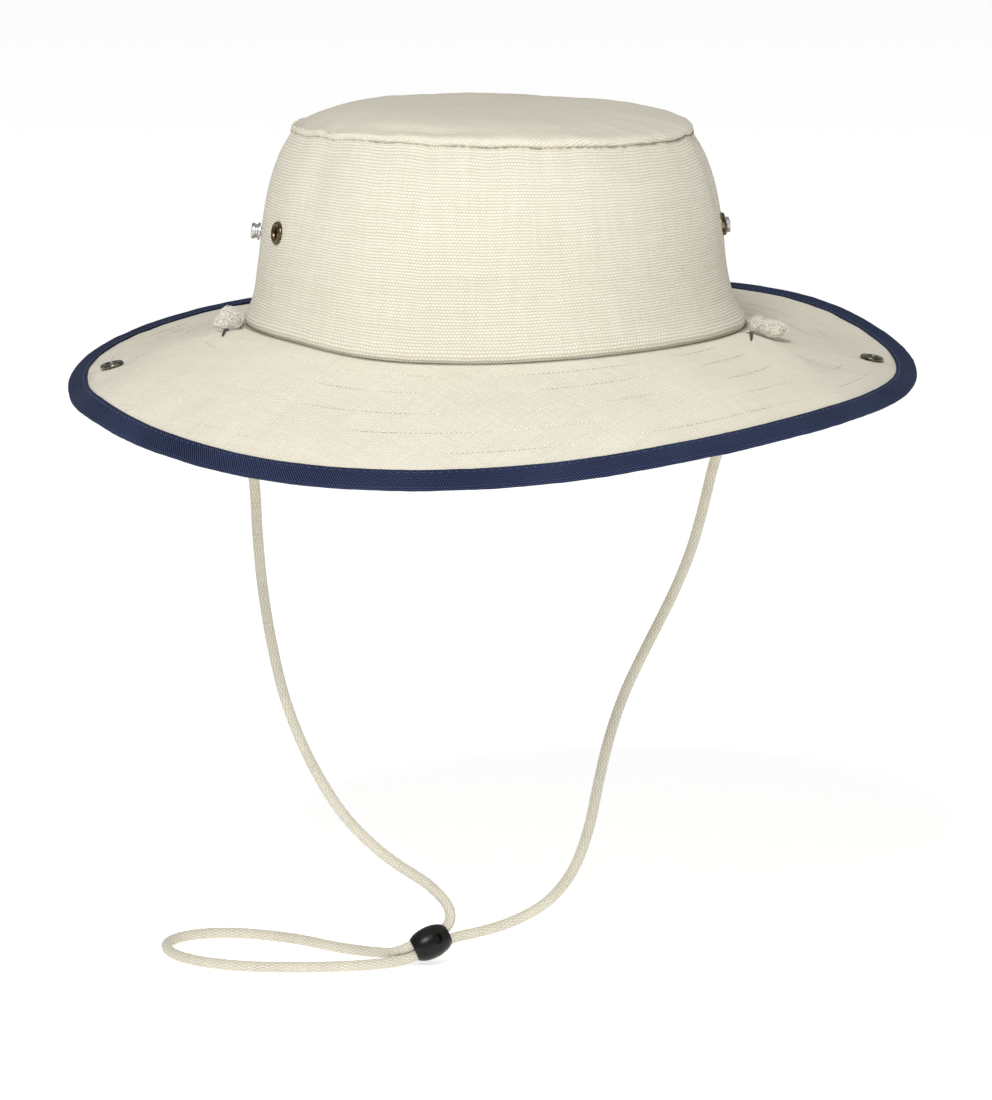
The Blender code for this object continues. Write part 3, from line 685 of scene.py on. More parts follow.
def canvas_material(name, light, dark, grain, pitch, depth, streak, contrast, shade):
    """Plain weave: staggered grains of thread with painted shade between them, thicker and thinner
    threads, and painted shade where it is sewn.
    """
    material, tree, shader = new_material(
        name, 0.92, Sheen_Weight=0.06, Sheen_Roughness=0.6, Specular_IOR_Level=0.25
    )
    place, across, along = cloth_place(tree)
    shift = times(tree, plus(tree, noise_value(tree, place, 120.0, 2.0), -0.5), 0.9)
    cosine, sine = math.cos(math.radians(grain)), math.sin(math.radians(grain))
    wide = plus(tree, weighted(tree, (across, cosine / pitch[0]), (along, sine / pitch[0])), shift)
    deep = plus(tree, weighted(tree, (across, -sine / pitch[1]), (along, cosine / pitch[1])), shift)
    column, row = (node(tree, "Math", {0: each}, operation="FLOOR").outputs[0] for each in (wide, deep))
    grains = wave_value(tree, weighted(tree, (wide, 1.0), (row, 0.5)))
    height = times(tree, wave_value(tree, deep), plus(tree, times(tree, grains, 0.75), 0.25))
    threads = thread_noise(tree, 0.73, times(tree, wide, 0.05), row)
    yarns = thread_noise(tree, 0.71, column, times(tree, deep, 0.05))
    slubs = plus(tree, threads, yarns)
    fuzz = noise_value(tree, place, 2600.0, 3.0)
    cloudy = noise_value(tree, object_place(tree), 22.0, 3.0)
    raised = weighted(tree, (height, 1.0), (slubs, 0.35), (fuzz, 0.22))
    # The grains' height darkens the gaps between them, a painted shade; the slubs, fuzz and cloudy patches
    # change the tone at random
    tone = weighted(tree, (height, contrast), (slubs, streak * 3.0), (fuzz, 0.25), (cloudy, 0.15))
    cloth = blended(tree, ranged(tree, tone, 0.35, 0.60 + contrast), dark, light)
    # Painted shade along the seams, where the shade function says
    colour = blended(tree, shade(tree, place, along), cloth, SEAM_SHADE_COLOUR)
    dress(tree, shader, colour, ranged(tree, fuzz, 0.2, 0.8, 0.86, 0.98), 1.0, depth, raised)
    return material


def tape_material(name):
    """Navy twill: fine ribs that run on the slant, with painted shade in the gaps between them and a
    greyer, worn tone on their crests.
    """
    material, tree, shader = new_material(
        name, 0.85, Sheen_Weight=0.03, Sheen_Roughness=0.5, Sheen_Tint=(0.55, 0.65, 0.75, 1.0),
        Specular_IOR_Level=0.06,
    )
    place, along, across = cloth_place(tree)
    ribs = wave_value(tree, weighted(tree, (along, 1 / TWILL_PITCH), (across, -0.9 / TWILL_PITCH)))
    floats = wave_value(tree, times(tree, across, 1 / TWILL_FLOAT))
    fuzz = noise_value(tree, place, 2200.0, 3.0)
    worn = noise_value(tree, object_place(tree), 30.0, 4.0)
    woven = times(tree, ribs, plus(tree, times(tree, floats, 0.5), 0.5))
    height = weighted(tree, (woven, 1.0), (fuzz, 0.3))
    # Darker in the gaps between the ribs, a painted shade, and paler where the random worn patches lie
    share = ranged(tree, weighted(tree, (height, 1.0), (worn, 0.4)), 0.60, 1.35)
    colour = blended(tree, share, (0.0020, 0.0034, 0.017), (0.058, 0.078, 0.160))
    dress(tree, shader, colour, ranged(tree, fuzz, 0.2, 0.8, 0.72, 0.95), 1.0, 0.00026, height)
    return material


def cotton_material(name, light, dark):
    """Soft spun cotton: painted shade between its strands, by the relief kept on the mesh."""
    material, tree, shader = new_material(
        name, 0.93, Sheen_Weight=0.15, Sheen_Roughness=0.6, Specular_IOR_Level=0.2
    )
    relief = node(tree, "Attribute", attribute_name="relief").outputs["Fac"]
    place = object_place(tree)
    fuzz = noise_value(tree, place, 1800.0, 3.0)
    tone = weighted(tree, (relief, 0.75), (fuzz, 0.35), (noise_value(tree, place, 60.0, 2.0), 0.25))
    colour = blended(tree, ranged(tree, tone, 0.30, 1.05), dark, light)
    dress(tree, shader, colour, ranged(tree, fuzz, 0.2, 0.8, 0.86, 0.98), 0.8, 0.0002, fuzz)
    return material


def metal_material(name, bright, dull, roughness, tarnish):
    """Plated metal: bright where it is worn, dull where it has tarnished, with fine scratches."""
    material, tree, shader = new_material(name, roughness, metallic=1.0)
    place = object_place(tree)
    patches = noise_value(tree, place, 420.0, 4.0)
    scratches = noise_value(tree, place, 900.0, 2.0, stretch=(1.0, 1.0, 9.0))
    colour = blended(tree, ranged(tree, patches, 0.35, 0.35 + tarnish), bright, dull)
    rough = ranged(tree, scratches, 0.25, 0.75, roughness * 0.7, roughness * 1.5)
    dress(tree, shader, colour, rough, 0.25, 0.00005, scratches)
    return material


def plastic_material(name):
    """Black moulded plastic with a faint grain and softer, paler rubbed places."""
    material, tree, shader = new_material(name, 0.3, Specular_IOR_Level=0.22)
    place = object_place(tree)
    rubbed = noise_value(tree, place, 260.0, 3.0)
    colour = blended(tree, rubbed, (0.003, 0.003, 0.003), (0.008, 0.008, 0.008))
    rough = ranged(tree, rubbed, 0.3, 0.7, 0.24, 0.40)
    dress(tree, shader, colour, rough, 0.15, 0.00005, noise_value(tree, place, 2400.0, 2.0))
    return material


def make_materials():
    """The finishes by name."""
    return {name: make(name, *look) for make, name, *look in (
        (canvas_material, "crown_canvas", (0.84, 0.805, 0.70), (0.50, 0.46, 0.35), 0.0,
         (0.00122, 0.00104), 0.00020, 0.08, 0.85, crown_shade),
        (canvas_material, "tip_canvas", (0.82, 0.78, 0.665), (0.55, 0.51, 0.40), 35.0,
         (0.00110, 0.00090), 0.00022, 0.10, 0.85, tip_shade),
        (canvas_material, "brim_canvas", (0.92, 0.88, 0.755), (0.60, 0.555, 0.435), 38.0,
         (0.00100, 0.00090), 0.00022, 0.09, 0.75, brim_shade),
        (tape_material, "navy_tape"),
        (cotton_material, "cord_cotton", (0.72, 0.69, 0.585), (0.37, 0.34, 0.26)),
        (cotton_material, "knot_cotton", (0.97, 0.95, 0.87), (0.58, 0.54, 0.44)),
        (cotton_material, "cream_thread", (0.86, 0.82, 0.70), (0.33, 0.29, 0.21)),
        # A dark colour for the painted shadow along the slits' fronts
        (cotton_material, "slit_brown", (0.050, 0.036, 0.024), (0.012, 0.009, 0.006)),
        (cotton_material, "navy_thread", (0.05, 0.07, 0.16), (0.01, 0.014, 0.045)),
        (metal_material, "aged_brass", (0.30, 0.23, 0.12), (0.05, 0.038, 0.02), 0.34, 0.22),
        (metal_material, "silver_metal", (0.66, 0.66, 0.65), (0.46, 0.46, 0.45), 0.34, 0.50),
        (metal_material, "dark_metal", (0.30, 0.28, 0.23), (0.07, 0.062, 0.048), 0.28, 0.25),
        (metal_material, "spring_metal", (0.90, 0.90, 0.88), (0.62, 0.60, 0.55), 0.22, 0.40),
        (plastic_material, "black_plastic"),
    )}


def linked(name, data):
    """An object in the scene with its data."""
    thing = bpy.data.objects.new(name, data)
    bpy.context.scene.collection.objects.link(thing)
    return thing


def azimuths_of(columns):
    return [360.0 * column / columns - 180.0 for column in range(columns)]


def keep_relief(mesh, values):
    """Keeps the height of the strands on a mesh, for its shader to paint shade in the low places."""
    relief = mesh.attributes.new("relief", "FLOAT", "POINT")
    relief.data.foreach_set("value", values)


def joined(mesh, turn_out=False):
    """Joins a mesh's corners that lie on each other."""
    whole = bmesh.new()
    whole.from_mesh(mesh)
    bmesh.ops.remove_doubles(whole, verts=whole.verts, dist=1e-6)
    if turn_out:
        bmesh.ops.recalc_face_normals(whole, faces=whole.faces)
    whole.to_mesh(mesh)
    whole.free()


def add_piece(name, mesh, material, slot, *nodes):
    """A piece that rides on the hat, with its finish, in place of the solids named."""
    thing = linked(name, mesh)
    mesh.materials.clear()
    mesh.materials.append(MATERIALS[material])
    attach(thing, BODY)
    if nodes:
        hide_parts(*nodes)
    return thing


def cloth_mesh(name, columns, rows, place, flat, facing_up=True):
    """A sheet bent round the hat, with its place on the flat cloth kept as a UV map in metres."""
    azimuths = [*azimuths_of(columns), 180.0]
    corners = [place(azimuth, row) for row in rows for azimuth in azimuths[:-1]]
    faces, spots = [], []
    for row in range(len(rows) - 1):
        for column in range(columns):
            ring = [(column, row), (column + 1, row), (column + 1, row + 1), (column, row + 1)]
            if not facing_up:
                ring.reverse()
            faces.append([each_row * columns + each % columns for each, each_row in ring])
            spots += [flat(azimuths[each], rows[each_row]) for each, each_row in ring]
    mesh = bpy.data.meshes.new(name)
    mesh.from_pydata(corners, [], faces)
    layer = mesh.uv_layers.new(name="cloth")
    layer.data.foreach_set("uv", np.array(spots, dtype=np.float32).ravel())
    mesh.shade_smooth()
    return mesh


def push_out(mesh, amounts):
    """Moves each corner of a mesh along its normal."""
    normals = np.empty(len(mesh.vertices) * 3, dtype=np.float32)
    mesh.vertex_normals.foreach_get("vector", normals)
    places = np.empty_like(normals)
    mesh.vertices.foreach_get("co", places)
    places += normals * np.repeat(np.array(amounts, dtype=np.float32), 3)
    mesh.vertices.foreach_set("co", places)
    mesh.update()


def thicken(thing, thickness, weights=None, even=True):
    shell = thing.modifiers.new("cloth", "SOLIDIFY")
    shell.thickness = thickness
    shell.offset = 0.0
    shell.use_even_offset = even
    shell.use_quality_normals = True
    if weights is not None:
        group = thing.vertex_groups.new(name="thickness")
        for index, weight in enumerate(weights):
            group.add([index], weight, "REPLACE")
        shell.vertex_group = group.name


def settle(thing, angle=45.0):
    """Replaces a piece's mesh by the one that its modifiers make."""
    graph = bpy.context.evaluated_depsgraph_get()
    mesh = bpy.data.meshes.new_from_object(thing.evaluated_get(graph))
    cutters = [each.object for each in thing.modifiers if each.type == "BOOLEAN"]
    thing.modifiers.clear()
    thing.vertex_groups.clear()
    thing.data = mesh
    for cutter in cutters:
        bpy.data.objects.remove(cutter)
    mesh.shade_smooth()
    mesh.set_sharp_from_angle(angle=math.radians(angle))


def cut(thing, cutter):
    modifier = thing.modifiers.new(cutter.name, "BOOLEAN")
    modifier.operation = "DIFFERENCE"
    modifier.solver = "EXACT"
    modifier.object = cutter


def cutter_object(name, shape, matrix):
    mesh = bpy.data.meshes.new(name)
    shape.to_mesh(mesh)
    shape.free()
    cutter = linked(name, mesh)
    cutter.matrix_world = matrix
    return cutter


def cylinder_cutter(name, radius, depth, point, axis, sides=48):
    shape = bmesh.new()
    bmesh.ops.create_cone(
        shape, cap_ends=True, segments=sides, radius1=radius, radius2=radius, depth=depth
    )
    turn = axis.to_track_quat("Z", "Y").to_matrix().to_4x4()
    return cutter_object(name, shape, Matrix.Translation(point) @ turn)


def obround_cutter(name, length, width, depth, point, rotation, sides=32):
    """A slot's cutter: a cylinder stretched along its X by moving its two halves apart."""
    shape = bmesh.new()
    bmesh.ops.create_cone(
        shape, cap_ends=True, segments=sides, radius1=width / 2, radius2=width / 2, depth=depth,
        matrix=Matrix.Rotation(math.pi / sides, 4, "Z"),
    )
    for corner in shape.verts:
        corner.co.x += math.copysign((length - width) / 2, corner.co.x)
    return cutter_object(name, shape, Matrix.Translation(point) @ rotation.to_4x4())


def axes_matrix(x_axis, z_axis):
    """Rotation whose X and Z columns lie along the given directions."""
    z_axis = z_axis.normalized()
    x_axis = (x_axis - z_axis * x_axis.dot(z_axis)).normalized()
    return Matrix((x_axis, z_axis.cross(x_axis), z_axis)).transposed()


def make_crown_side():
    rows = sorted({-0.012, 0.006, 0.012, 0.024, 0.988, 0.994, *np.linspace(0.0, 1.0, CROWN_ROWS + 1)})
    radius = (HEAD_WIDTH + TIP_WIDTH) / 4

    def flat(azimuth, share):
        return math.radians(azimuth) * radius, share * CROWN_HEIGHT

    mesh = cloth_mesh("crown_side_cloth", CROWN_COLUMNS, rows, crown_point, flat)
    amounts = []
    for share in rows:
        height = share * CROWN_HEIGHT
        slack = 4 * share * (1 - share)
        top_pucker = math.exp(-((1 - share) / 0.10) ** 2)
        low_pucker = math.exp(-(share / 0.09) ** 2)
        for azimuth in azimuths_of(CROWN_COLUMNS):
            amount = 0.0006 * slack * ripple(azimuth, height * 0.5, 0.040, 2)
            amount += 0.00022 * slack * ripple(azimuth, height, 0.012, 3)
            amount += 0.00030 * top_pucker * ripple(azimuth, 0.0, 0.0065, 4)
            amount += 0.00022 * low_pucker * ripple(azimuth, 0.0, 0.0080, 5)
            back_seam = angle_between(azimuth, 180.0)
            amounts.append(amount - 0.0005 * math.exp(-(back_seam / 0.7) ** 2))
    push_out(mesh, amounts)
    side = add_piece("crown_side_cloth", mesh, "crown_canvas", "crown_canvas", "crown_side")
    thicken(side, CROWN_CLOTH)
    for kind, azimuths, height, bore in (
        ("eyelet", EYELET_AZIMUTHS, EYELET_HEIGHT, EYELET_BARREL_RADIUS),
        ("stud", STUD_AZIMUTHS, STUD_HEIGHT, STUD_POST_RADIUS),
    ):
        for place, azimuth in azimuths.items():
            name = f"hole_{kind}_{place}"
            cut(side, cylinder_cutter(name, bore + GAP, CUT_DEPTH, *crown_frame(azimuth, height)))
    settle(side)


def make_crown_tip():
    near = np.linspace(0.0, 0.10, 18)
    rows = [*near, *np.linspace(0.10, 1.0, TIP_ROWS - len(near) + 1)[1:]]

    def flat(azimuth, place):
        return (on_oval(azimuth, TIP_WIDTH, TIP_LENGTH) * (1.02 - place)).xy

    mesh = cloth_mesh("crown_tip_cloth", TIP_COLUMNS, rows, tip_point, flat)
    amounts = []
    for place in rows:
        edge = math.exp(-((place - 0.03) / 0.05) ** 2)
        for azimuth in azimuths_of(TIP_COLUMNS):
            spot = outward(azimuth) * (1 - place) * 2.2
            amount = 0.0009 * (1 - place) ** 0.3 * noise.noise(spot + Vector((3.1, 1.7, 0.4)))
            amount *= smooth_step(0.0, 0.12, place) * smooth_step(1.0, 0.9, place) if place < 1 else 0.0
            amounts.append(amount + 0.00028 * edge * ripple(azimuth, 0.0, 0.0060, 6))
    push_out(mesh, amounts)
    joined(mesh)
    tip = add_piece("crown_tip_cloth", mesh, "tip_canvas", "crown_canvas", "crown_tip")
    thicken(tip, CROWN_CLOTH, even=False)
    settle(tip)


def tape_fold_radius():
    """Distance from the brim's middle to the middle of the tape on either face."""
    return BRIM_CLOTH / 2 + TAPE_GAP + TAPE_CLOTH / 2


def tape_shares():
    """Shares of the brim's width where the tape begins and where the cloth ends, inside its fold."""
    edge = 1 - (TAPE_CLOTH / 2 + tape_fold_radius()) / BRIM_WIDTH
    return 1 - TAPE_WIDTH / BRIM_WIDTH, edge


def socket_share():
    """Share of the brim's width where the sockets sit, clear of the tape."""
    return 1 - (TAPE_WIDTH + SOCKET_MARGIN + SOCKET_RADIUS) / BRIM_WIDTH


def socket_frame(side):
    """Point, outward tangent and upward normal where a socket sits, flatter than the brim round it."""
    point, tangent, normal = brim_frame(SOCKET_AZIMUTHS[side], socket_share())
    level = (normal + Vector((0.0, 0.0, SOCKET_LEVELLING[side]))).normalized()
    return point, (tangent - level * tangent.dot(level)).normalized(), level


def level_round_sockets(spot, seats):
    """How far the brim's middle is lifted at a spot, so that it lies flat under the sockets."""
    lift = 0.0
    for point, _, level in seats:
        away = spot - point
        if away.length < 3 * SOCKET_FLAT:
            lift -= away.dot(level) * math.exp(-((away.length / SOCKET_FLAT) ** 2))
    return lift


def make_brim():
    _, edge = tape_shares()
    groove = GROOVE_HALF_WIDTH / BRIM_WIDTH
    even = np.linspace(0.0, edge, BRIM_ROWS)
    rows = {row for row in even if all(abs(row - share) > 1.6 * groove for share in STITCH_ROWS)}
    for share in STITCH_ROWS:
        rows |= {share - groove, share - groove / 2, share, share + groove / 2, share + groove}
    rows = [-BRIM_TUCK / BRIM_WIDTH, *sorted(rows)]

    def place(azimuth, share):
        if share >= 0:
            return brim_point(azimuth, share)
        return brim_point(azimuth, 0.0) + outward(azimuth) * share * BRIM_WIDTH

    def flat(azimuth, share):
        return (outward(azimuth) * (HEAD_WIDTH / 2 + share * BRIM_WIDTH)).xy

    mesh = cloth_mesh("brim_cloth", BRIM_COLUMNS, rows, place, flat, facing_up=False)
    amounts, weights = [], []
    seats = [socket_frame(side) for side in SOCKET_AZIMUTHS]
    for share in rows:
        nearest = min(abs(share - row) for row in STITCH_ROWS) / groove
        weight = 1.0 - GROOVE_THINNING * math.exp(-(nearest**2) * 2)
        free = smooth_step(0.0, 0.12, share) * smooth_step(edge, 0.86, share) if share < edge else 0.0
        reach = HEAD_WIDTH / 2 + share * BRIM_WIDTH
        for azimuth in azimuths_of(BRIM_COLUMNS):
            spot = outward(azimuth) * reach
            amount = 0.0007 * free * noise.noise(spot / 0.030 + Vector((0.0, 0.0, 5.5)))
            amount += 0.00025 * free * noise.noise(spot / 0.011 + Vector((0.0, 0.0, 9.5)))
            if 0.5 < share < 0.86:
                lift = level_round_sockets(brim_point(azimuth, share), seats)
                amount += lift * smooth_step(0.86, 0.80, share)
            amounts.append(amount)
            weights.append(weight)
    push_out(mesh, amounts)
    brim = add_piece("brim_cloth", mesh, "brim_canvas", "brim_canvas", "brim")
    thicken(brim, BRIM_CLOTH, weights)
    share = SLIT_REACH / BRIM_WIDTH
    for side, (azimuth, turn) in SLITS.items():
        point = brim_frame(azimuth, share)[0]
        direction = outward(azimuth - math.copysign(turn, azimuth))
        rotation = axes_matrix(direction, Vector((0.0, 0.0, 1.0)))
        size = (SLIT_LENGTH, SLIT_WIDTH, 8 * BRIM_CLOTH)
        cut(brim, obround_cutter("slit_" + side, *size, point, rotation))
    for side in SOCKET_AZIMUTHS:
        point, _, normal = socket_frame(side)
        bore = SOCKET_BARREL_RADIUS + GAP
        cut(brim, cylinder_cutter("hole_socket_" + side, bore, CUT_DEPTH, point, normal))
    settle(brim)


def make_binding():
    """The tape folded round the rim: flat on top, round the edge, flat below."""
    tape, edge = tape_shares()
    fold = tape_fold_radius()
    flats = list(np.linspace(tape, edge, 9))
    turns = [(edge, angle) for angle in range(75, -90, -15)]
    rows = [(share, 90.0) for share in flats] + turns + [(share, -90.0) for share in reversed(flats)]
    lengths = [0.0]
    for (share, turn), (next_share, next_turn) in zip(rows, rows[1:]):
        run = abs(next_share - share) * BRIM_WIDTH + math.radians(abs(next_turn - turn)) * fold
        lengths.append(lengths[-1] + run)
    across = dict(zip(rows, lengths))
    radius = HEAD_WIDTH / 2 + BRIM_WIDTH

    def place(azimuth, row):
        share, turn = row[0], math.radians(row[1])
        point, tangent, normal = brim_frame(azimuth, share)
        return point + (tangent * math.cos(turn) + normal * math.sin(turn)) * fold

    def flat(azimuth, row):
        return math.radians(azimuth) * radius, across[row]

    mesh = cloth_mesh("brim_binding_tape", TAPE_COLUMNS, rows, place, flat, facing_up=False)
    amounts = []
    for share, turn in rows:
        inner = math.exp(-((share - tape) * BRIM_WIDTH / 0.0016) ** 2)
        for azimuth in azimuths_of(TAPE_COLUMNS):
            amount = 0.00018 * ripple(azimuth, turn * 0.0001, 0.0060, 7) * (1 - 0.5 * inner)
            amounts.append(amount + 0.00010 * ripple(azimuth, turn * 0.0001, 0.0022, 8))
    push_out(mesh, amounts)
    binding = add_piece("brim_binding_tape", mesh, "navy_tape", "navy_tape", "brim_binding")
    thicken(binding, TAPE_CLOTH)
    settle(binding, 60.0)


def stitched(name, spots, material, slot, length, thickness):
    """Short thread floats laid at each of a line's (point, along, up) frames."""
    seed = bmesh.new()
    bmesh.ops.create_uvsphere(seed, u_segments=6, v_segments=5, radius=0.5)
    bmesh.ops.rotate(seed, verts=seed.verts, matrix=Matrix.Rotation(math.pi / 2, 3, "Y"))
    corners = np.array([corner.co[:] for corner in seed.verts])
    faces = [[corner.index for corner in face.verts] for face in seed.faces]
    seed.free()
    all_corners, all_faces, reliefs = [], [], []
    for point, along, up in spots:
        side = up.cross(along).normalized()
        base = len(all_corners)
        for x, y, z in corners:
            sag = -0.35 * thickness * (2 * x) ** 2
            rise = z * thickness * 0.8 + sag
            all_corners.append(point + along * (x * length) + side * (y * thickness) + up * rise)
            # Each float's ends are kept low, so that the shader paints a small shadow where the thread
            # dives into the cloth
            reliefs.append(0.85 - 0.85 * smooth_step(0.30, 0.46, abs(x)))
        all_faces += [[base + index for index in face] for face in faces]
    mesh = bpy.data.meshes.new(name)
    mesh.from_pydata(all_corners, [], all_faces)
    keep_relief(mesh, reliefs)
    mesh.shade_smooth()
    add_piece(name, mesh, material, slot)


def brim_row_frames(share, height, pitch, start=0.0):
    """Frames along a row on the brim at an even pitch, at a height above its middle."""
    fine = [brim_frame(azimuth, share) for azimuth in (*azimuths_of(1440), 180.0)]
    spots, carried = [], start
    for (point, _, normal), (ahead, _, _) in zip(fine, fine[1:]):
        step = (ahead - point).length
        while carried < step:
            t = carried / step
            spots.append((point.lerp(ahead, t) + normal * height, (ahead - point).normalized(), normal))
            carried += pitch
        carried -= step
    return spots


def clear_of_fittings(spots):
    """The frames that lie clear of the slits and the snap sockets."""
    middles = [(cord_seat(side)[0], SLIT_CLEARANCE) for side in SLITS]
    share = socket_share()
    middles += [(brim_frame(azimuth, share)[0], SOCKET_CLEARANCE) for azimuth in SOCKET_AZIMUTHS.values()]
    return [spot for spot in spots if all((spot[0] - place).length > room for place, room in middles)]


def make_stitches():
    """The brim's rows and the tape's one row, each on the top and the under face."""
    seat = BRIM_CLOTH / 2 * (1 - GROOVE_THINNING)
    for index, share in enumerate(STITCH_ROWS):
        for face, side in FACES:
            spots = brim_row_frames(share, side * seat, STITCH_PITCH, STITCH_SHIFT * index)
            spots = [(point, along, up * side) for point, along, up in clear_of_fittings(spots)]
            name = f"brim_stitches_{index + 1}_{face}"
            stitched(name, spots, "cream_thread", "brim_canvas", STITCH_LENGTH, STITCH_THICKNESS)
    share = tape_shares()[0] + TAPE_STITCH_INSET / BRIM_WIDTH
    seat = tape_fold_radius() + TAPE_CLOTH / 2 + THREAD_EASE
    for face, side in FACES:
        spots = brim_row_frames(share, side * seat, TAPE_STITCH_PITCH)
        spots = [(point, along, up * side) for point, along, up in spots]
        name = f"binding_stitches_{face}"
        stitched(name, spots, "navy_thread", "navy_tape", TAPE_STITCH_LENGTH, TAPE_STITCH_THICKNESS)


def turned_mesh(name, profile, closed=False):
    """A turned mesh round Z from a profile of radius and height."""
    corners, faces = [], []
    count = len(profile)
    for side in range(TURNED_SIDES):
        angle = 2 * math.pi * side / TURNED_SIDES
        corners += [(r * math.cos(angle), r * math.sin(angle), h) for r, h in profile]
    for side in range(TURNED_SIDES):
        here, there = side * count, (side + 1) % TURNED_SIDES * count
        for row in range(count if closed else count - 1):
            after = (row + 1) % count
            faces.append((here + row, here + after, there + after, there + row))
    mesh = bpy.data.meshes.new(name)
    mesh.from_pydata(corners, [], faces)
    joined(mesh, turn_out=True)
    mesh.shade_smooth()
    mesh.set_sharp_from_angle(angle=math.radians(40))
    return mesh


def arc(centre_radius, centre_height, radius, start, end, steps=8):
    """Profile points along an arc, by angles in degrees above the outward direction."""
    angles = [math.radians(start + (end - start) * step / steps) for step in range(steps + 1)]
    return [(centre_radius + radius * math.cos(a), centre_height + radius * math.sin(a)) for a in angles]


def add_turned(name, profile, material, slot, point, axis, *nodes, closed=False):
    """A turned piece that stands at a point along an axis, with its place kept in its mesh."""
    thing = add_piece(name, turned_mesh(name, profile, closed), material, slot, *nodes)
    turn = axis.to_track_quat("Z", "Y").to_matrix().to_4x4()
    thing.data.transform(Matrix.Translation(point) @ turn)


def make_eyelets():
    """Rings with a rounded lip on both faces of the cloth."""
    grip = CROWN_CLOTH / 2 + GAP / 2
    hole, outer, barrel = EYELET_HOLE_RADIUS, EYELET_FLANGE_RADIUS, EYELET_BARREL_RADIUS
    bead = (outer - hole) / 2
    lip = EYELET_LIP + GAP + EYELET_FLANGE_RADIUS**2 / HEAD_WIDTH
    front = [(r, grip + (h - grip) * lip / bead) for r, h in arc(hole + bead, grip, bead, 0, 180, 16)]
    back = [(r, -h) for r, h in reversed(front)]
    inner = grip * 0.6
    profile = [(outer, inner), *front, *back, (outer, -inner), (barrel, -inner), (barrel, inner)]
    for corner, azimuth in EYELET_AZIMUTHS.items():
        name = "vent_eyelet_" + corner
        seat = crown_frame(azimuth, EYELET_HEIGHT)
        add_turned(name + "_ring", profile, "aged_brass", "aged_brass", *seat, name, closed=True)


def make_studs():
    """Studs with a waisted head outside the cloth and a low cap inside."""
    grip = CROWN_CLOTH / 2 + GAP + STUD_CAP_RADIUS**2 / HEAD_WIDTH
    base, head, neck = STUD_BASE_RADIUS, STUD_HEAD_RADIUS, STUD_NECK_RADIUS
    top = CROWN_CLOTH / 2 + STUD_STAND
    room = top - grip
    edge = 0.00025
    profile = [(0.0, top), *arc(head - 2 * edge, top - 2 * edge, 2 * edge, 90, 0)]
    profile += [(head, top - room * 0.36), (neck, top - room * 0.50), (neck, top - room * 0.64)]
    profile += arc(base - edge, grip + room * 0.26 - edge, edge, 90, 0)
    profile += [(base, grip), (STUD_POST_RADIUS, grip), (STUD_POST_RADIUS, -grip)]
    profile += [(STUD_CAP_RADIUS, -grip), *arc(STUD_CAP_RADIUS - edge, -grip - edge, edge, 0, -60)]
    profile += [(STUD_CAP_RADIUS * 0.7, -grip - STUD_CAP_HEIGHT * 0.9), (0.0, -grip - STUD_CAP_HEIGHT)]
    for side, azimuth in STUD_AZIMUTHS.items():
        name = "snap_stud_" + side
        seat = crown_frame(azimuth, STUD_HEIGHT)
        add_turned(name + "_metal", profile, "silver_metal", "silver_metal", *seat, name)


def make_sockets():
    """Sockets with a rolled rim above the brim, a bright spring inside and a cap below."""
    grip = BRIM_CLOTH / 2 + GAP + SOCKET_EASE + SOCKET_RADIUS**2 / HEAD_WIDTH
    outer, hole, barrel = SOCKET_RADIUS, SOCKET_HOLE_RADIUS, SOCKET_BARREL_RADIUS
    rim = grip + SOCKET_RIM_HEIGHT
    bead = (outer - hole) / 2 * 0.8
    edge = 0.0003
    profile = [(0.0, -grip + 0.0002), (hole, -grip + 0.0002)]
    profile += arc(hole + edge, rim - edge, edge, 180, 90)
    profile += arc(outer - bead, rim - bead, bead, 90, 0)
    profile += [(outer, grip), (barrel, grip), (barrel, -grip), (outer, -grip)]
    profile += arc(outer - edge, -grip - edge, edge, 0, -60)
    profile += [(outer * 0.55, -grip - SOCKET_CAP_HEIGHT), (0.0, -grip - SOCKET_CAP_HEIGHT)]
    spring = [(0.0, grip * 0.4), (hole * 0.45, grip * 0.4), (hole * 0.55, grip * 0.9)]
    spring += arc(hole * 0.78, rim - 0.0009, hole * 0.16, 160, 0)
    spring += [(hole * 0.94, -grip + 0.0004), (0.0, -grip + 0.0004)]
    for side in SOCKET_AZIMUTHS:
        name = "snap_socket_" + side
        point, _, normal = socket_frame(side)
        add_turned(name + "_metal", profile, "dark_metal", "dark_metal", point, normal, name)
        add_turned(name + "_spring", spring, "spring_metal", "dark_metal", point, normal)


def route_point(row):
    sideways, rearward, upward = row
    return Vector((sideways * CORD_SPREAD, rearward * CORD_SPREAD, upward * CORD_DROP))


def lock_rotation():
    """The lock's X lies across its two strands, and its Z along them, towards the loop."""
    upright = axes_matrix(Vector((0.0, 0.0, 1.0)), LOCK_AXIS)
    return upright @ Matrix.Rotation(math.radians(LOCK_ROLL), 3, "Z")


def strand_in_lock(side, heading):
    """Points straight through the lock for one of its two strands, entering and leaving clear of it."""
    rotation = lock_rotation()
    across, along = rotation.col[0], rotation.col[2] * heading
    middle = route_point(LOCK_PLACE) + across * side * STRAND_SPACING / 2
    reach = LOCK_LENGTH / 2 + LOCK_CLEAR_RUN
    return [middle - along * reach, middle, middle + along * reach]


def cord_seat(side):
    """Where the cord comes up through the brim: point, outward tangent and upward normal."""
    return brim_frame(SLITS[side][0], SLIT_REACH / BRIM_WIDTH)


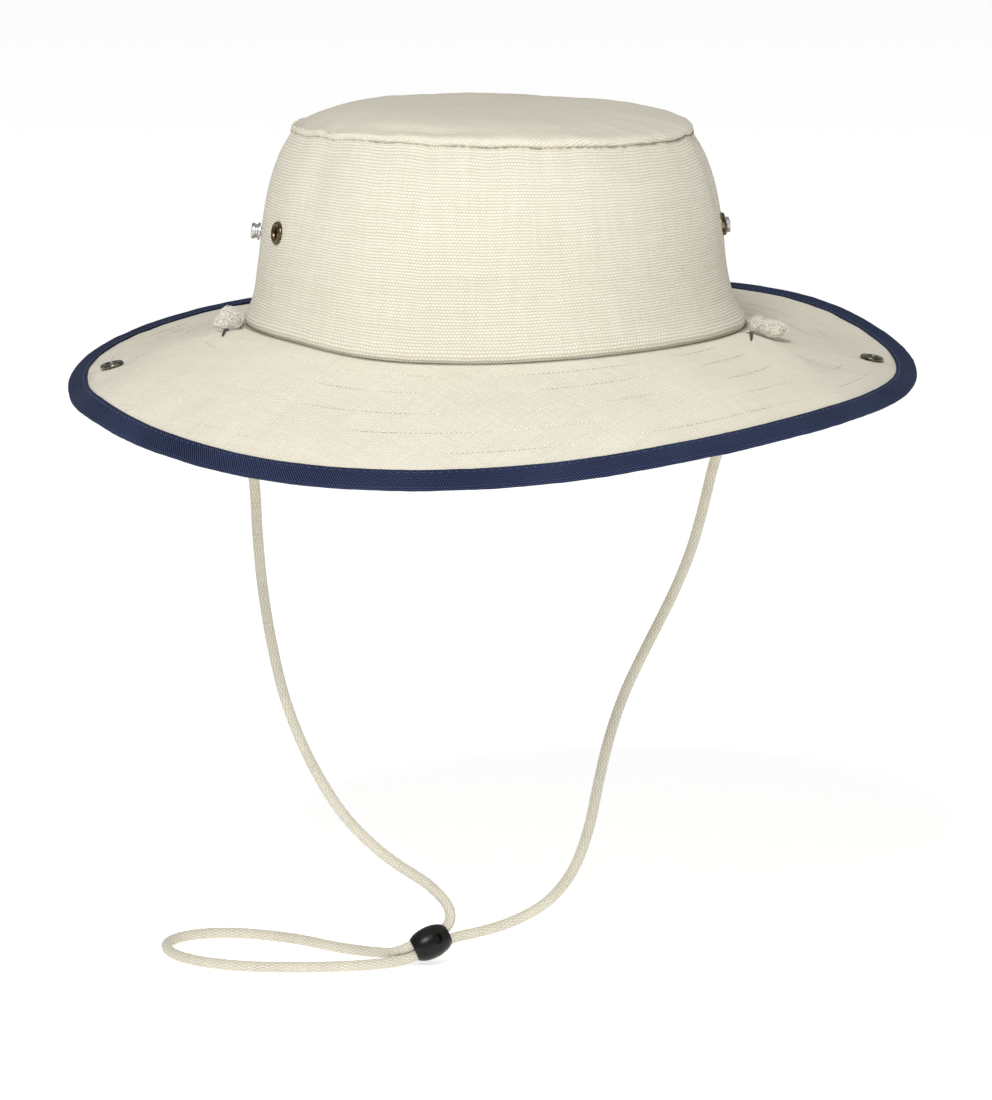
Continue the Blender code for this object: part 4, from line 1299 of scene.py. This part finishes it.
def cord_route():
    """The cord's route through its chosen points and the lock, from the left slit to the right."""
    left, turn, loop, right = (
        [route_point(row) for row in rows]
        for rows in (LEFT_STRAND, TURN_INTO_LOCK, LOOP_ON_GROUND, RIGHT_STRAND)
    )
    ends = [cord_seat(side)[0] for side in ("left", "right")]
    for end in ends:
        end.z -= CORD_END_DEPTH
    return [ends[0], *left, *turn, *strand_in_lock(1, 1), *loop, *strand_in_lock(-1, -1), *right, ends[1]]


def cord_line(step):
    """Points along one smooth curve through the route, at an even step, with its bends eased."""
    route = cord_route()
    lengths = [0.0]
    for start, end in zip(route, route[1:]):
        lengths.append(lengths[-1] + (end - start).length)
    rows = [(length, *place) for length, place in zip(lengths, route)]
    count = round(lengths[-1] / step)
    places = [lengths[-1] * index / count for index in range(count + 1)]
    line = np.array([[smooth_value(rows, place, axis) for axis in (1, 2, 3)] for place in places])
    for _ in range(CORD_EASING):
        line[1:-1] += (line[:-2] - 2 * line[1:-1] + line[2:]) / 4
    return line


def side_directions(line):
    """Two directions square to a line at each of its points, turned as little as possible."""
    tangents = np.gradient(line, axis=0)
    tangents /= np.linalg.norm(tangents, axis=1)[:, None]
    side = np.cross(tangents[0], (0.0, 1.0, 0.0))
    sides = []
    for tangent in tangents:
        side = side - tangent * np.dot(side, tangent)
        side = side / np.linalg.norm(side)
        sides.append(side)
    sides = np.array(sides)
    return sides, np.cross(tangents, sides)


def braid_height(length, turn):
    """Relief of the braid from 0 to 1: two families of strands that pass over and under."""
    one = length / BRAID_DIAMOND / 2 + turn * BRAID_STRANDS
    other = length / BRAID_DIAMOND / 2 - turn * BRAID_STRANDS
    over = (np.floor(one) + np.floor(other)) % 2 == 0
    first = np.sin(np.pi * (one % 1.0))
    second = np.sin(np.pi * (other % 1.0))
    upper = np.where(over, first, second)
    lower = np.where(over, second, first)
    return upper**0.7 * (0.55 + 0.45 * lower)


def tube(name, line, radius, relief, sides):
    """A closed tube along a line, its surface raised by relief(length, turn)."""
    steps = np.linalg.norm(np.diff(line, axis=0), axis=1)
    lengths = np.concatenate([[0.0], np.cumsum(steps)])
    first, second = side_directions(line)
    turns = np.arange(sides) / sides
    raised, strands = relief(lengths[:, None], turns[None, :])
    reach = np.broadcast_to(radius(lengths), lengths.shape)[:, None] + raised
    angles = 2 * np.pi * turns[None, :, None]
    spokes = np.cos(angles) * first[:, None, :] + np.sin(angles) * second[:, None, :]
    corners = (line[:, None, :] + spokes * reach[..., None]).reshape(-1, 3)
    count = len(line)
    faces = []
    for ring in range(count - 1):
        for side in range(sides):
            after = (side + 1) % sides
            here, there = ring * sides, (ring + 1) * sides
            faces.append((here + side, here + after, there + after, there + side))
    faces.append(tuple(reversed(range(sides))))
    faces.append(tuple((count - 1) * sides + side for side in range(sides)))
    mesh = bpy.data.meshes.new(name)
    mesh.from_pydata(corners.tolist(), [], faces)
    keep_relief(mesh, strands.astype(np.float32).ravel())
    mesh.shade_smooth()
    return mesh


def make_cord(with_pieces):
    line = cord_line(CORD_STEP)
    base = CORD_DIAMETER / 2 - BRAID_RELIEF * 0.55

    def relief(length, turn):
        wander = 0.25 * np.sin(length / 0.011) + 0.2 * np.sin(length / 0.0047 + 1.0)
        height = braid_height(length, turn + wander * 0.02)
        # The braid's height also paints shade into the gaps between its strands
        return height * BRAID_RELIEF, height

    mesh = tube("chin_cord_braid", line, lambda lengths: base, relief, CORD_SIDES)
    cord = add_piece("chin_cord_braid", mesh, "cord_cotton", "cord_cotton", "chin_cord")


def make_lock():
    """The bead that slides on both strands, with rounded mouths and a round moulded recess."""
    half, radius = LOCK_LENGTH / 2, LOCK_DIAMETER / 2
    centre, rotation = route_point(LOCK_PLACE), lock_rotation()
    profile = [(0.0, half)]
    rows = 44
    for row in range(rows + 1):
        height = half * math.cos(math.pi * row / rows)
        bulge = 1 - abs(height / (half * LOCK_POINTEDNESS)) ** LOCK_FULLNESS
        profile.append((radius * bulge ** (1 / LOCK_FULLNESS), height))
    profile.append((0.0, -half))
    mesh = turned_mesh("cord_lock_bead", profile)
    mesh.transform(Matrix.Translation(centre) @ rotation.to_4x4())
    bead = add_piece("cord_lock_bead", mesh, "black_plastic", "black_plastic", "cord_lock")
    length = CORD_DIAMETER + STRAND_SPACING + 2 * GAP
    width = CORD_DIAMETER + 2 * GAP
    cut(bead, obround_cutter("lock_bore", length, width, 2 * LOCK_LENGTH, centre, rotation, 64))
    facing = (LOCK_FACING - rotation.col[2] * LOCK_RECESS_LEAN).normalized()
    place = centre + facing * radius * LOCK_RECESS_SEAT
    depth = 2 * LOCK_RECESS_DEPTH
    cut(bead, cylinder_cutter("lock_recess", LOCK_RECESS_RADIUS, depth, place, facing, 64))
    settle(bead, 35.0)
    bevel = bead.modifiers.new("edges", "BEVEL")
    bevel.width = LOCK_EDGE
    bevel.segments = 3
    bevel.limit_method = "ANGLE"
    bevel.angle_limit = math.radians(40)
    settle(bead, 35.0)
    return bead


def make_knot(side):
    """A knot of frayed cotton: lumps run together, roughened, with loose fibres standing off them."""
    point, out, up = cord_seat(side)
    seat = point + up * (BRIM_CLOTH / 2 + GAP)
    back = Vector((0.0, 1.0, 0.0))
    whole = bmesh.new()
    for outwards, rearwards, upwards, half_width, half_depth, half_height in KNOT_LUMPS[side]:
        place = seat + (out * outwards + back * rearwards + up * upwards) * KNOT_SIZE
        scale = Matrix.Diagonal((half_width, half_depth, half_height)) * KNOT_SIZE
        matrix = Matrix.Translation(place) @ scale.to_4x4()
        bmesh.ops.create_icosphere(whole, subdivisions=4, radius=1.0, matrix=matrix)
    mesh = bpy.data.meshes.new(f"cord_knot_{side}_cotton")
    whole.to_mesh(mesh)
    whole.free()
    knot = add_piece(mesh.name, mesh, "knot_cotton", "cord_cotton", "cord_knot_" + side)
    blend = knot.modifiers.new("one", "REMESH")
    blend.mode = "VOXEL"
    blend.voxel_size = KNOT_GRAIN
    settle(knot, 180.0)
    mesh = knot.data
    mesh.materials.clear()
    mesh.materials.append(MATERIALS["knot_cotton"])
    amounts, reliefs = [], []
    for corner in mesh.vertices:
        spot = corner.co - seat
        strand = noise.noise(Vector((spot.x * 1300, spot.y * 800, spot.z * 1700)))
        fine = noise.noise(spot * 3000)
        amounts.append(0.00022 * strand + 0.00010 * fine)
        # The strands' height also paints shade into the knot's hollows, with some random tone
        reliefs.append(0.55 + 1.0 * strand + 0.4 * fine)
    push_out(mesh, amounts)
    keep_relief(mesh, reliefs)
    return [knot, make_fibres(side, knot, seat)]


def make_slit_shadow(side):
    """A thin dark tube of painted shadow along a slit's front, tapered at both ends."""
    azimuth, share, end_azimuth, end_share = SLIT_SHADOW_LINES[side]
    seat = BRIM_CLOTH / 2 + SLIT_SHADOW_RADIUS * 0.6
    line = []
    for t in np.arange(61) / 60:
        point, _, up = brim_frame(azimuth + (end_azimuth - azimuth) * t, share + (end_share - share) * t)
        line.append((point + up * seat)[:])

    def radius(lengths):
        t = lengths / lengths[-1]
        return SLIT_SHADOW_RADIUS * np.sqrt(np.clip(np.sin(np.pi * (0.02 + 0.96 * t)), 0.0, 1.0))

    def relief(length, turn):
        rough = np.sin(length / 0.00019 + 9 * turn) * np.sin(length / 0.00047 + 5 * turn)
        return rough * 0.00006, 0.5 + 0.5 * rough

    mesh = tube(f"slit_shadow_line_{side}", np.array(line), radius, relief, 12)
    add_piece(mesh.name, mesh, "slit_brown", "brim_canvas")


def make_fibres(side, knot, seat):
    """Loose curled ends that start on a knot's surface, each a tapered tube of three sides."""
    draw = random.Random(KNOT_SEEDS[side])
    roots = knot.data.vertices
    low = seat.z - 0.0002
    corners, faces = [], []
    for count, shortest, longest, thinnest, thickest, most_curl, fall in LOOSE_ENDS:
        for _ in range(count):
            root = roots[draw.randrange(len(roots))]
            normal = root.normal.normalized()
            drift = Vector((draw.uniform(-1, 1), draw.uniform(-1, 1), draw.uniform(-0.4, 1)))
            lean = (drift - normal * drift.dot(normal)).normalized()
            length = draw.uniform(shortest, longest)
            thickness = draw.uniform(thinnest, thickest)
            curl = draw.uniform(-1, 1) * most_curl
            across = normal.cross(lean)
            base = len(corners)
            for step in range(LOOSE_END_STEPS + 1):
                t = step / LOOSE_END_STEPS
                rise = 0.00045 * math.sin(math.pi * min(t * 0.75, 1.0)) + 0.00012
                rise -= length * length * t * t / KNOT_SIZE * fall
                spot = root.co + lean * length * t + normal * rise + across * curl * t * t
                spot.z = max(spot.z, low)
                size = thickness * (1 - 0.7 * t)
                for angle in (0.0, 2.094, 4.189):
                    corners.append(spot + (normal * math.cos(angle) + across * math.sin(angle)) * size)
            top = base + 3 * LOOSE_END_STEPS
            for here in range(base, top, 3):
                for each in range(3):
                    after = (each + 1) % 3
                    faces.append((here + each, here + after, here + after + 3, here + each + 3))
            faces += [(base + 2, base + 1, base), (top, top + 1, top + 2)]
    made = bpy.data.meshes.new(f"cord_knot_{side}_fibres")
    made.from_pydata(corners, [], faces)
    keep_relief(made, [0.85] * len(corners))
    made.shade_smooth()
    return add_piece(made.name, made, "knot_cotton", "cord_cotton")


def make_stage():
    """The camera, a plain pale floor and soft studio light."""
    camera = linked("camera", bpy.data.cameras.new("camera"))
    camera.location = CAMERA_PLACE
    camera.rotation_euler = (CAMERA_AIM - CAMERA_PLACE).to_track_quat("-Z", "Y").to_euler()
    camera.data.lens = CAMERA_LENS
    camera.data.sensor_width = CAMERA_SENSOR
    camera.data.clip_end = 100.0
    bpy.context.scene.camera = camera

    shape = bmesh.new()
    bmesh.ops.create_grid(shape, x_segments=1, y_segments=1, size=FLOOR_SIZE / 2)
    mesh = bpy.data.meshes.new("floor")
    shape.to_mesh(mesh)
    shape.free()
    floor = linked("floor", mesh)
    floor.location.z = FLOOR_HEIGHT
    material, _, _ = new_material(
        "pale_floor", 0.9, Base_Color=(0.9, 0.9, 0.9, 1.0), Emission_Color=(1.0, 1.0, 1.0, 1.0),
        Emission_Strength=FLOOR_GLOW,
    )
    mesh.materials.append(material)

    world = bpy.data.worlds.new("studio")
    world.use_nodes = True
    background = world.node_tree.nodes["Background"]
    background.inputs["Color"].default_value = (1.0, 1.0, 1.0, 1.0)
    background.inputs["Strength"].default_value = WORLD_STRENGTH
    bpy.context.scene.world = world
    bpy.context.scene.view_settings.view_transform = "Standard"
    for name, azimuth, elevation, distance, size, power in LIGHTS:
        lamp = bpy.data.lights.new(name, "AREA")
        lamp.size = size
        lamp.energy = power
        thing = linked(name, lamp)
        level = outward(azimuth) * math.cos(math.radians(elevation))
        thing.location = (level + Vector((0, 0, math.sin(math.radians(elevation))))) * distance
        thing.rotation_euler = (-thing.location).to_track_quat("-Z", "Y").to_euler()


make_stage()
MATERIALS = make_materials()
make_cord([make_lock(), *make_knot("left"), *make_knot("right")])
make_crown_side()
make_crown_tip()
make_brim()
for side_name in SLIT_SHADOW_LINES:
    make_slit_shadow(side_name)
make_binding()
make_stitches()
make_eyelets()
make_studs()
make_sockets()
